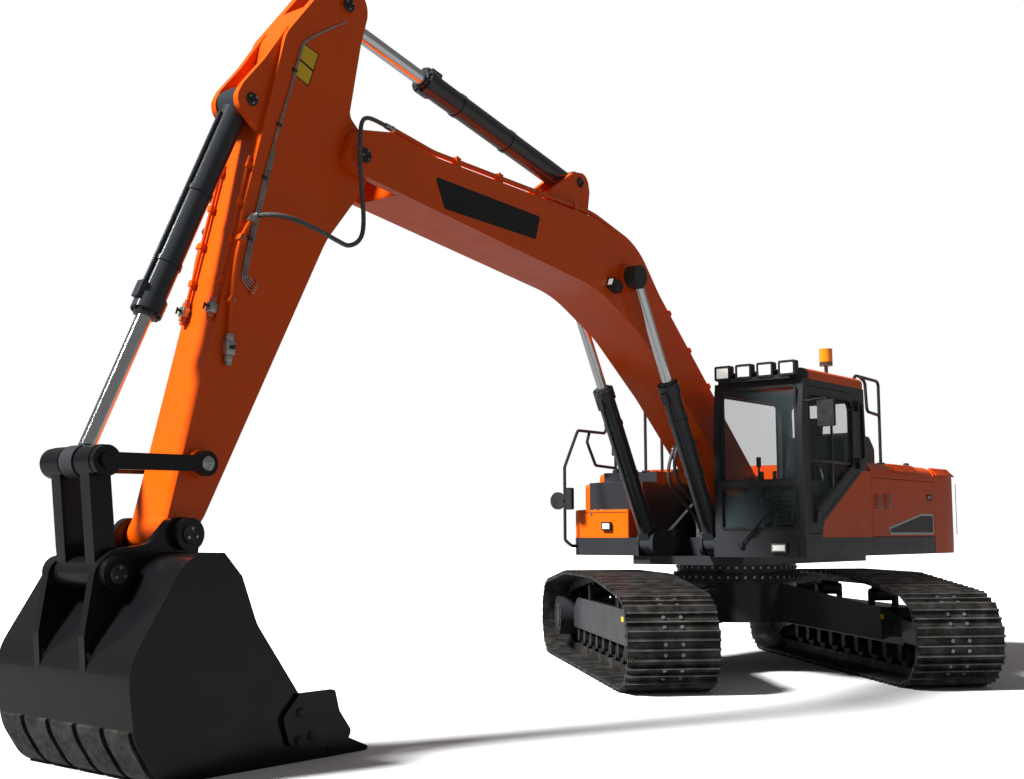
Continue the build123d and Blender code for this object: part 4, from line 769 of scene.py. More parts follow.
def rounded(rows: Sequence[tuple[float, float, float]], steps: int = 5) -> list[tuple[float, float]]:
    """Outline with rounded corners.

    Args:
        rows: Corners as (along, up, radius).
        steps: Facets to a corner.

    Returns:
        The outline's points.
    """
    points = []
    for k, (x, z, radius) in enumerate(rows):
        here = Vector((x, z))
        before, after = Vector(rows[k - 1][:2]), Vector(rows[(k + 1) % len(rows)][:2])
        back, ahead = (before - here).normalized(), (after - here).normalized()
        half = back.angle(ahead) / 2
        if radius < 1e-6 or half > pi / 2 - 0.02:
            points.append((x, z))
            continue
        middle = here + (back + ahead).normalized() * (radius / sin(half))
        start, end = here + back * (radius / tan(half)) - middle, here + ahead * (radius / tan(half)) - middle
        turn = start.angle_signed(end)
        for step in range(steps + 1):
            spoke = Matrix.Rotation(-turn * step / steps, 2) @ start
            points.append(tuple(middle + spoke))
    return points


class Piece:
    """One modelled piece: shapes joined into a mesh, finished and hung on its body."""

    def __init__(self, name: str, body: str, place: Matrix, *finishes: Finish) -> None:
        """Start an empty piece.

        Args:
            name: The piece's name.
            body: The body that it rides on.
            place: The frame that its shapes are placed in.
            finishes: Its finishes, by the numbers that add takes.
        """
        self.name, self.body, self.place, self.finishes = name, body, place, finishes
        self.shape = bmesh.new()

    def add(self, part: bmesh.types.BMesh, places: Sequence[Matrix], finish: int = 0) -> "Piece":
        """Add copies of a shape.

        Args:
            part: The shape, which is used up.
            places: Where its copies go.
            finish: Which of the piece's finishes it has.

        Returns:
            The piece itself.
        """
        for face in part.faces:
            face.material_index = finish
        mesh = bpy.data.meshes.new("part")
        part.to_mesh(mesh)
        part.free()
        for place in places:
            copy = mesh.copy()
            whole = self.place @ place
            copy.transform(whole)
            if whole.determinant() < 0:
                copy.flip_normals()
            self.shape.from_mesh(copy)
            bpy.data.meshes.remove(copy)
        bpy.data.meshes.remove(mesh)
        return self

    def done(self, smooth: float = 35.0) -> bpy.types.Object:
        """Make the object, dress it and hang it on its body.

        Args:
            smooth: Angle in degrees up to which neighbouring faces are shaded as one.

        Returns:
            The finished object.
        """
        mesh = bpy.data.meshes.new(self.name)
        self.shape.to_mesh(mesh)
        self.shape.free()
        mesh.shade_smooth()
        mesh.set_sharp_from_angle(angle=radians(smooth))
        return hang(bpy.data.objects.new(self.name, mesh), self.body, self.finishes)


def hang(piece: bpy.types.Object, body: str | None, finishes: Sequence[Finish]) -> bpy.types.Object:
    """Dress a new object and let it ride on its body.

    Args:
        piece: The object, in its place.
        body: The body that it rides on, or None to leave it on no body.
        finishes: Its finishes.

    Returns:
        The same object.
    """
    bpy.context.collection.objects.link(piece)
    for finish in finishes:
        piece.data.materials.append(finish.material())
    if body:
        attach(piece, body)
    LOG.info("made %s", piece.name)
    return piece


def settled(item: bpy.types.Object) -> bpy.types.Mesh:
    """The mesh that an object comes to, curves made solid and modifiers applied.

    Args:
        item: A linked object.

    Returns:
        A new mesh.
    """
    bpy.context.view_layer.update()
    return bpy.data.meshes.new_from_object(item.evaluated_get(bpy.context.evaluated_depsgraph_get()))


def add_spline(curve: bpy.types.Curve, spots: Sequence[Vector], resolution: int) -> None:
    """Add a smooth line to a curve, from its first control point to its last.

    Args:
        curve: The curve.
        spots: The control points.
        resolution: Steps between two control points.
    """
    spline = curve.splines.new("NURBS")
    spline.points.add(len(spots) - 1)
    for point, spot in zip(spline.points, spots):
        point.co = (*spot, 1)
    spline.order_u, spline.use_endpoint_u, spline.resolution_u = 3, True, resolution


def pipe_run(name: str, body: str, place: Matrix, finish: Finish, runs: Sequence[Sequence[Sequence[float]]],
             radius: float) -> None:
    """Bent pipes or rods of one size, as a mesh.

    Args:
        name: The piece's name.
        body: The body that it rides on.
        place: The frame of the points.
        finish: Its finish.
        runs: For each pipe, its points (along, left, up).
        radius: The pipes' radius.
    """
    curve = bpy.data.curves.new(name, "CURVE")
    curve.dimensions = "3D"
    curve.bevel_depth, curve.bevel_resolution, curve.use_fill_caps = radius, 3, True
    for points in runs:
        add_spline(curve, [place @ Vector(row) for row in points], 8)
    draft = bpy.data.objects.new(name + "_line", curve)
    mesh = bpy.data.meshes.new_from_object(draft)
    bpy.data.objects.remove(draft)
    bpy.data.curves.remove(curve)
    mesh.name = name
    mesh.materials.clear()
    mesh.shade_smooth()
    mesh.set_sharp_from_angle(angle=radians(50))
    hang(bpy.data.objects.new(name, mesh), body, (finish,))


ACROSS = Matrix.Rotation(pi / 2, 4, "X")     # turns an upright shape to point across the machine
ALONG = Matrix.Rotation(pi / 2, 4, "Y")      # turns an upright shape to point along it


# =====================================================================================================
# Undercarriage
# =====================================================================================================
@dataclass
class Undercarriage:
    """Shoe bolts, worn grouser tips, hub covers and the slew ring's bolts."""

    gauge: float = 2.68
    half_span: float = 2.02
    axle: float = 0.45
    tumbler: float = 0.364
    half_carriers: float = 0.76
    rise: float = 0.50
    shoes: int = 48
    shoe_face: float = 0.060
    grouser_tip: float = 0.086
    shoe_width: float = 0.85
    rail: float = 0.08
    bolt_rows: tuple[float, float] = (0.27, 0.72)
    grousers: tuple[float, ...] = (0.09, 0.50, 0.93)
    frame_half: float = 0.18        # half of a track frame's width
    hub_out: float = 0.302          # outer face of a final drive, from its track's centre line

    def build(self) -> None:
        """Make all its pieces."""
        links = self.links()
        for name, side in SIDES:
            self.shoe_details(name, side * self.gauge / 2, links)
            self.frame_details(name, side)
        self.slew_ring()

    def links(self) -> list[tuple[Vector, Vector]]:
        """Start and direction of every link on the chain's pitch line, as (along, up)."""
        reach = self.half_span - self.half_carriers
        leave = atan2(self.rise, reach) + acos(self.tumbler / hypot(self.rise, reach))
        arc = [3 * pi / 2 - (3 * pi / 2 - leave) * k / 90 for k in range(91)]
        rear = [Vector((self.tumbler * cos(a) - self.half_span, self.axle + self.tumbler * sin(a)))
                for a in arc]
        line = rear + [Vector((-point.x, point.y)) for point in reversed(rear)]
        top = self.axle + self.rise
        line[91:91] = [Vector((-self.half_carriers, top)), Vector((self.half_carriers, top))]
        line = [Vector((self.half_span, line[0].y))] + line
        total = sum((b - a).length for a, b in zip(line, line[1:]))
        joints, gone, k = [], 0.0, 0
        for a, b in zip(line, line[1:]):
            while k < self.shoes and k * total / self.shoes <= gone + (b - a).length:
                joints.append(a.lerp(b, (k * total / self.shoes - gone) / max((b - a).length, 1e-9)))
                k += 1
            gone += (b - a).length
        return [(here, after - here) for here, after in zip(joints, joints[1:] + joints[:1])]

    def on_link(self, link: tuple[Vector, Vector], share: float, height: float, across: float) -> Matrix:
        """Place on a shoe.

        Args:
            link: The shoe's link.
            share: How far along the link.
            height: Height over the pitch line.
            across: Place across the undercarriage.

        Returns:
            A place with x along the link and z out of the shoe.
        """
        start, run = link
        way = run.normalized()
        spot = start + run * share + Vector((-way.y, way.x)) * height
        ahead, out = Vector((way.x, 0, way.y)), Vector((-way.y, 0, way.x))
        turn = Matrix((ahead, out.cross(ahead), out)).transposed().to_4x4()
        return Matrix.Translation((spot.x, across, spot.y)) @ turn

    def shoe_details(self, name: str, middle: float, links: list[tuple[Vector, Vector]]) -> None:
        """Bolts on the shoes and bright tips on the grousers.

        Args:
            name: Side of the machine.
            middle: The track's centre line.
            links: The chain's links.
        """
        bolts = [
            self.on_link(link, share, self.shoe_face + 0.006, middle + rail)
            for link in links for share in self.bolt_rows for rail in (-self.rail, self.rail)
        ]
        Piece(f"shoe_bolts_{name}", "undercarriage", UNDER, Finish.BRIGHT_STEEL).add(
            hexes(0.019, 0.013), bolts).done()
        tips = [
            self.on_link(link, share, self.grouser_tip, middle)
            for link in links if link[0].y > 0.12 for share in self.grousers
        ]
        Piece(f"grouser_tips_{name}", "undercarriage", UNDER, Finish.WORN_STEEL).add(
            block((0.011, self.shoe_width - 0.01, 0.0016)), tips).done()

    def frame_details(self, name: str, side: int) -> None:
        """Covers, tensioner plate and hub caps of one track frame.

        Args:
            name: Side of the machine.
            side: 1 for left and -1 for right.
        """
        middle = side * self.gauge / 2
        plates = Piece(f"frame_covers_{name}", "undercarriage", UNDER, Finish.CHARCOAL, Finish.DARK_STEEL,
                       Finish.YELLOW)
        cover, hub = Vector((1.42, 0.50)), Vector((self.half_span, self.axle))
        idler_ring, drive_ring = 0.085, 0.20     # radii of the bolt circles
        for face in (-1, 1):
            y = middle + face * self.frame_half
            plates.add(block((0.30, 0.012, 0.15), 0.004), [at(cover.x, y, cover.y)])
            corners = [at(cover.x + x, y + face * 0.009, cover.y + z) @ ACROSS
                       for x in (-0.12, 0.12) for z in (-0.05, 0.05)]
            plates.add(hexes(0.014, 0.012), corners, 1)
            plates.add(block((0.10, 0.003, 0.05), 0.001), [at(1.12, y + face * 0.001, 0.60)], 2)
            plates.add(drum(0.11, 0.016, 32, 0.004), [at(hub.x, y + face * 0.006, hub.y) @ ACROSS])
            idler = at(hub.x, y + face * 0.016, hub.y) @ ACROSS
            plates.add(hexes(0.010, 0.012), ring(idler, idler_ring, [k * pi / 4 for k in range(8)]), 1)
        drive = at(-hub.x, middle + side * self.hub_out, hub.y) @ ACROSS
        plates.add(drum(0.15, 0.014, 32, 0.004), [drive])
        plates.add(hexes(0.013, 0.016), ring(drive, drive_ring, [k * pi / 6 for k in range(12)]), 1)
        plates.done()

    def slew_ring(self) -> None:
        """Two rows of bolt heads round the slew ring, one to each race."""
        rows = [  # name, body, radius, height
            ("upper", "house", 0.645, 1.085),
            ("lower", "undercarriage", 0.685, 0.985),
        ]
        for name, body, radius, height in rows:
            bolts = Piece(f"slew_bolts_{name}", body, HOUSE, Finish.BRIGHT_STEEL)
            places = [at(0, 0, height, yaw=k * 7.5) @ at(radius, 0, 0) @ ALONG for k in range(48)]
            bolts.add(hexes(0.015, 0.014), places).done()


# =====================================================================================================
# House
# =====================================================================================================
@dataclass
class House:
    """Grilles, latches, covers and lamps of the upper house."""

    side: float = 1.47
    hood: float = 2.19

    def build(self) -> None:
        """Make all its pieces."""
        self.side_grilles()
        self.shoulder_grilles()
        self.side_plates()
        self.latches()
        self.hood_top()
        self.tank_details()
        self.lamps()
        self.rail_details()

    def side_grilles(self) -> None:
        """Grille in each side door: an orange plate crossed by black bars, painted shade standing in for the
        dark gaps of the louvre.
        """
        for name, body, face in SIDE_DOORS:
            grille = Piece(f"side_grille_{name}", body, HOUSE, Finish.ORANGE, Finish.BLACK)
            y = face * (self.side + 0.001)
            for x in (-0.66, -0.42):
                grille.add(block((0.215, 0.008, 0.175), 0.003), [at(x, y, 1.77)])
                # black bars: painted shade where the louvre's gaps fall dark
                gap_shade_bars = [at(x, y, 1.70 + k * 0.02) for k in range(8)]
                grille.add(block((0.195, 0.010, 0.009), 0.001), gap_shade_bars, 1)
            grille.done()

    def shoulder_grilles(self) -> None:
        """Slotted grilles on the hood's and the counterweight's shoulders."""
        rows = [  # name, along, length, out, up
            ("front", -1.20, 0.72, 1.424, 2.144),
            ("rear", -2.28, 0.56, 1.438, 2.141),
        ]
        for name, x, length, out, up in rows:
            for side, face in SIDES:
                grille = Piece(f"shoulder_grille_{name}_{side}", "house", HOUSE, Finish.ORANGE)
                place = at(x, face * out, up, roll=-face * 45)
                grille.add(block((length, 0.13, 0.010), 0.004), [place])
                ribs = [place @ at(0, -0.045 + k * 0.0225, 0.006) for k in range(5)]
                grille.add(block((length - 0.05, 0.012, 0.010), 0.003), ribs)
                grille.done()

    def side_plates(self) -> None:
        """Blank dark panel with a pale edge, low on each rear side."""
        outline = [(-1.90, 1.425), (-0.70, 1.425), (-0.66, 1.50), (-1.56, 1.655), (-1.90, 1.655)]
        for name, body, face in SIDE_DOORS:
            panel = Piece(f"side_panel_{name}", body, HOUSE @ Matrix.Diagonal((1, face, 1, 1)),
                          Finish.BLACK, Finish.SILVER)
            panel.add(plate(outline, 0.003), [at(0, self.side, 0)])
            panel.add(surround(outline, 0.022, 0.004), [at(0, self.side, 0)], 1)
            panel.done()

    def latches(self) -> None:
        """Latch of each side door, and the rubber in the seams."""
        for name, body, face in SIDE_DOORS:
            y = face * self.side
            latch = Piece(f"door_latch_{name}", body, HOUSE, Finish.PLASTIC, Finish.BRIGHT_STEEL)
            latch.add(block((0.13, 0.012, 0.075), 0.005), [at(-1.80, y, 1.84)])
            latch.add(block((0.09, 0.018, 0.030), 0.005), [at(-1.80, y, 1.845)], 1)
            latch.add(drum(0.012, 0.02, 16, 0.002), [at(-1.755, y, 1.82) @ ACROSS], 1)
            latch.done()
        seams = Piece("hood_seams", "house", HOUSE, Finish.RUBBER)
        seams.add(block((0.012, 2.62, 0.006), 0.002), [at(-1.95, 0, self.hood)])
        seams.add(block((0.008, 0.006, 0.60), 0.002), [at(-2.62, face * self.side, 1.72) for face in (-1, 1)])
        seams.done()

    def hood_top(self) -> None:
        """Service hatch with its bolts and with black bars painted as the shade inside its vent openings,
        walkway strips and exhaust stack on the hood.
        """
        hatch = Piece("hood_hatch", "house", HOUSE, Finish.ORANGE, Finish.BLACK, Finish.BRIGHT_STEEL)
        middle = at(-1.32, -0.25, self.hood)
        hatch.add(block((1.00, 1.50, 0.022), 0.008, 3), [middle @ at(0, 0, 0.011)])
        # black bars: painted shade inside the hatch's vent openings
        vent_shade_bars = [middle @ at(-0.13, -0.50 + k * 0.04, 0.022) for k in range(14)]
        hatch.add(block((0.50, 0.016, 0.012), 0.002), vent_shade_bars, 1)
        bolts = [middle @ at(x, y, 0.026) for x in (-0.46, 0.46) for y in (-0.70, 0, 0.70)]
        hatch.add(hexes(0.014, 0.010), bolts, 2)
        hatch.done()
        strips = [at(-0.36 - 0.16 * k, -0.55, self.hood + 0.002) for k in range(3)]
        grip = Piece("walkway_strips", "house", HOUSE, Finish.GRIT)
        grip.add(block((0.09, 0.9, 0.004), 0.001), strips).done()
        stack = Piece("exhaust_stack", "house", HOUSE, Finish.DARK_STEEL)
        foot = [at(-1.70, -0.95, self.hood)]
        stack.add(turned([(0.052, 0.0), (0.052, 0.16), (0.046, 0.16), (0.046, 0.01)], 28), foot)
        flange = [(0.0465, 0.0), (0.085, 0.0), (0.085, 0.014), (0.056, 0.022), (0.0465, 0.022)]
        stack.add(turned(flange, 28), foot)
        stack.done()

    def tank_details(self) -> None:
        """Treads and filler caps on the tanks, and the seam and lock of the tool box's lid."""
        tread = Piece("tank_treads", "house", HOUSE, Finish.GRIT, Finish.BRIGHT_STEEL)
        rows = [  # along, left, top, length, width
            (0.10, -1.05, 2.13, 0.50, 0.56),
            (0.62, -1.05, 2.01, 0.22, 0.56),
            (0.90, -1.10, 1.70, 0.20, 0.60),
        ]
        for x, y, z, length, width in rows:
            tread.add(block((length, width, 0.004), 0.0015), [at(x, y, z + 0.002)])
            knobs = [at(x + (i - 1.5) * length / 4.4, y + (j - 3) * width / 7.6, z + 0.006)
                     for i in range(4) for j in range(7)]
            tread.add(drum(0.013, 0.006, 10, 0, 0.010), knobs, 1)
        tread.done()
        caps = Piece("filler_caps", "house", HOUSE, Finish.CHARCOAL, Finish.DARK_STEEL)
        for x, y in ((-0.12, -0.82), (0.36, -1.30)):
            knob = [(0.0, 0.0), (0.062, 0.0), (0.062, 0.030), (0.050, 0.042), (0.0, 0.042)]
            caps.add(turned(knob, 28), [at(x, y, 2.13)])
            caps.add(block((0.10, 0.018, 0.016), 0.004), [at(x, y, 2.178)], 1)
        caps.done()
        lid = Piece("tool_box_lid", "house", HOUSE, Finish.ORANGE, Finish.BRIGHT_STEEL, Finish.RUBBER)
        lid.add(block((0.004, 0.60, 0.006), 0.001), [at(1.041, -1.02, 1.672)], 2)
        lid.add(drum(0.014, 0.014, 20, 0.003), [at(1.043, -1.19, 1.655) @ ALONG], 1)
        lid.done()

    def lamps(self) -> None:
        """Bezels and lenses of the lamps at the house's front."""
        rows = [  # name, along, left, up, width, height, rim
            ("tool_box", 1.068, -0.977, 1.525, 0.128, 0.092, Finish.CHARCOAL),
            ("cab", 1.318, 1.215, 1.302, 0.165, 0.088, Finish.BRIGHT_STEEL),
        ]
        for name, x, y, z, width, height, rim in rows:
            lamp = Piece(f"{name}_lamp_face", "house", HOUSE, Finish.CLEAR_LENS, rim)
            lamp.add(block((0.006, width - 0.030, height - 0.026), 0.002), [at(x, y, z)])
            half_w, half_h = width / 2 - 0.004, height / 2 - 0.004
            edge = [(-half_w, -half_h), (half_w, -half_h), (half_w, half_h), (-half_w, half_h)]
            lamp.add(surround(edge, 0.013, 0.008), [at(x - 0.002, y, z, yaw=-90)], 1)
            lamp.done()

    def rail_details(self) -> None:
        """Mounting flanges of the handrails and the glass of the mirrors."""
        feet = Piece("rail_feet", "house", HOUSE, Finish.CHARCOAL, Finish.BRIGHT_STEEL)
        for x, y, z in ((0.45, -0.86, 2.13), (0.115, -0.86, 2.13), (-0.29, 1.30, 2.19), (-0.905, 1.30, 2.19)):
            flange = [(0.0175, 0.0), (0.045, 0.0), (0.045, 0.010), (0.0175, 0.012)]
            feet.add(turned(flange, 24), [at(x, y, z)])
            feet.add(hexes(0.009, 0.008), ring(at(x, y, z + 0.014), 0.033, (0.8, 2.4, 3.9, 5.5)), 1)
        feet.done()
        glass = Piece("mirror_glass", "house", HOUSE, Finish.MIRROR)
        rows = [  # along, left, up, width, height
            (1.320, 1.745, 2.565, 0.140, 0.220),
            (1.173, -1.384, 1.826, 0.060, 0.205),
            (0.236, -1.400, 2.440, 0.085, 0.170),
        ]
        for x, y, z, width, height in rows:
            glass.add(block((0.003, width, height), 0.001), [at(x - 0.0262, y, z)])
        glass.done()


# =====================================================================================================
# Cab
# =====================================================================================================
@dataclass
class Cab:
    """Seals, lamps, wiper, latch and the operator's chair."""

    middle: float = 0.985
    half: float = 0.485
    wall: float = 1.4665            # across, of the left side windows' seals
    floor: float = 1.46
    lamp_pitch: float = 0.235

    def build(self) -> None:
        """Make all its pieces."""
        self.window_seals()
        self.door_trim()
        self.roof_lamps()
        self.roof_trim()
        self.wiper()
        self.chair()

    def window_seals(self) -> None:
        """Rubber seals round the fixed windows."""
        seals = Piece("window_seals", "house", HOUSE, Finish.RUBBER)
        wide = self.half - 0.070
        for top, bottom, x in ((2.86, 1.95, 1.262), (1.90, 1.485, 1.271)):
            edge = rounded([(-wide - 0.012, bottom - 0.012, 0.05), (wide + 0.012, bottom - 0.012, 0.05),
                            (wide + 0.012, top + 0.012, 0.05), (-wide - 0.012, top + 0.012, 0.05)])
            seals.add(surround(edge, 0.026, 0.010), [at(x - 0.004, self.middle, 0, yaw=-90)])
        side = rounded([(-0.072, 1.788, 0.06), (1.162, 1.788, 0.06), (1.162, 2.832, 0.06),
                        (-0.072, 2.832, 0.06)])
        seals.add(surround(side, 0.026, 0.006), [at(0, 0.4975, 0)])
        quarter = rounded([(-0.006, 2.140, 0.04), (-0.006, 2.800, 0.05), (-0.106, 2.800, 0.05),
                           (-0.140, 2.224, 0.05)])
        seals.add(surround(quarter, 0.022, 0.006), [at(0, self.wall, 0)])
        seals.done()

    def door_trim(self) -> None:
        """Seal, sliding pane's bars and latch of the cab door."""
        trim = Piece("cab_door_trim", "cab_door_leaf", HOUSE, Finish.RUBBER, Finish.CHARCOAL,
                     Finish.BRIGHT_STEEL)
        rows = [(0.998, 1.518, 0.05), (1.132, 1.518, 0.06), (1.132, 2.802, 0.06), (0.138, 2.802, 0.12),
                (0.138, 2.124, 0.08), (0.968, 1.650, 0.06)]
        trim.add(surround(rounded(rows), 0.026, 0.006), [at(0, self.wall, 0)])
        trim.add(block((0.034, 0.016, 1.05), 0.004), [at(0.61, 1.455, 2.27)], 1)
        trim.add(block((0.96, 0.014, 0.030), 0.004), [at(0.635, 1.455, 2.145)], 1)
        trim.add(block((0.17, 0.020, 0.055), 0.008, 3), [at(0.93, 1.477, 2.02, pitch=-60)], 1)
        trim.add(block((0.10, 0.016, 0.022), 0.005), [at(0.93, 1.490, 2.02, pitch=-60)], 2)
        trim.done()

    def roof_lamps(self) -> None:
        """Bezels and lenses of the four lamps on the roof."""
        lamps = Piece("roof_lamp_faces", "house", HOUSE, Finish.CLEAR_LENS, Finish.PLASTIC,
                      Finish.BRIGHT_STEEL)
        edge = rounded([(-0.088, -0.073, 0.02), (0.088, -0.073, 0.02), (0.088, 0.073, 0.02),
                        (-0.088, 0.073, 0.02)])
        for k in range(4):
            y = self.middle + (k - 1.5) * self.lamp_pitch
            lamps.add(block((0.008, 0.140, 0.104), 0.003), [at(1.300, y, 3.03)])
            lamps.add(surround(edge, 0.022, 0.012), [at(1.298, y, 3.03, yaw=-90)], 1)
            lamps.add(drum(0.007, 0.19, 12, 0.001), [at(1.262, y, 3.02) @ ACROSS], 2)
        lamps.done()

    def roof_trim(self) -> None:
        """Ribs pressed in the roof and the beacon's foot."""
        trim = Piece("roof_trim", "house", HOUSE, Finish.ORANGE, Finish.PLASTIC)
        ribs = [at(0.45, self.middle + y, 3.043) for y in (-0.26, -0.09, 0.09, 0.26)]
        trim.add(block((1.00, 0.060, 0.010), 0.004), ribs)
        trim.add(turned([(0.021, 0.0), (0.055, 0.0), (0.055, 0.012), (0.030, 0.030), (0.021, 0.030)], 28),
                 [at(0.02, self.middle + 0.15, 3.04)], 1)
        trim.done()

    def wiper(self) -> None:
        """Wiper with its motor cap, arm and blade, parked on the lower window."""
        base, tip = Vector((1.308, 0.80, 1.330)), Vector((1.300, 1.10, 1.640))
        bow = base.lerp(tip, 0.5) + Vector((0.02, 0, 0))
        pipe_run("wiper_arm", "house", HOUSE, Finish.PLASTIC, [[base, bow, tip]], 0.0075)
        blade = Piece("wiper_blade", "house", HOUSE, Finish.RUBBER, Finish.PLASTIC)
        lean = -slope((base.y, base.z), (tip.y, tip.z))
        blade.add(block((0.012, 0.50, 0.020), 0.004), [at(1.290, 1.03, 1.565, roll=lean)])
        blade.add(turned([(0.0, 0.0), (0.034, 0.0), (0.030, 0.026), (0.0, 0.034)], 24),
                  [at(1.291, base.y, base.z) @ ALONG], 1)
        blade.done()

    def cushion(self, name: str, size: Sequence[float], place: Matrix, crown: float) -> None:
        """A crowned cushion whose sides pull in between its corners, with two sewn channels.

        Args:
            name: The piece's name.
            size: Along, across and up.
            place: Its place in the house.
            crown: How far the middle of its top rises.
        """
        channel_at, channel_half, channel_depth, waist = 0.55, 0.05, 0.010, 0.05
        shape = block(size, min(size) * 0.32, 3)
        bmesh.ops.subdivide_edges(shape, edges=shape.edges[:], cuts=3, use_grid_fill=True)
        for _ in range(6):
            bmesh.ops.smooth_vert(shape, verts=shape.verts[:], factor=0.5, use_axis_x=True, use_axis_y=True,
                                  use_axis_z=True)
        long, wide, _ = size
        for vert in shape.verts:
            x, y = 2 * vert.co.x / long, 2 * vert.co.y / wide
            inner = max(0.0, 1 - x * x)
            if vert.co.z > 0:
                vert.co.z += crown * inner * max(0.0, 1 - y * y)
                vert.co.z -= channel_depth * (abs(abs(y) - channel_at) < channel_half)
            vert.co.y *= 1 - waist * inner * abs(y)
        piece = Piece(name, "house", HOUSE, Finish.CLOTH).add(shape, [place]).done(80)
        soft = piece.modifiers.new("soft", "SUBSURF")
        soft.levels = soft.render_levels = 1

    def chair(self) -> None:
        """Operator's chair: base with its bellows, back frame, cushions and headrest."""
        y, floor = self.middle, self.floor
        base = Piece("chair_base", "house", HOUSE, Finish.PLASTIC, Finish.RUBBER)
        base.add(block((0.42, 0.38, 0.05), 0.010), [at(0.42, y, floor + up) for up in (0.025, 0.295)])
        folds = [at(0.42, y, floor + 0.075 + 0.045 * k) for k in range(5)]
        base.add(block((0.40, 0.36, 0.042), 0.018, 3), folds, 1)
        base.add(block((0.035, 0.40, 0.60), 0.014), [at(0.130, y, floor + 0.66, pitch=-16)])
        posts = [at(0.098, y + side * 0.07, floor + 1.04, pitch=-12) for side in (-1, 1)]
        base.add(drum(0.010, 0.24, 16, 0.002), posts)
        seat = base.done()
        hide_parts("operator_chair")
        self.cushion("seat_cushion", (0.50, 0.50, 0.115), at(0.435, y, floor + 0.372, pitch=-3), 0.022)
        self.cushion("back_cushion", (0.56, 0.48, 0.105), at(0.205, y, floor + 0.71, pitch=-106), 0.018)
        self.cushion("headrest", (0.19, 0.24, 0.085), at(0.082, y, floor + 1.085, pitch=-100), 0.012)


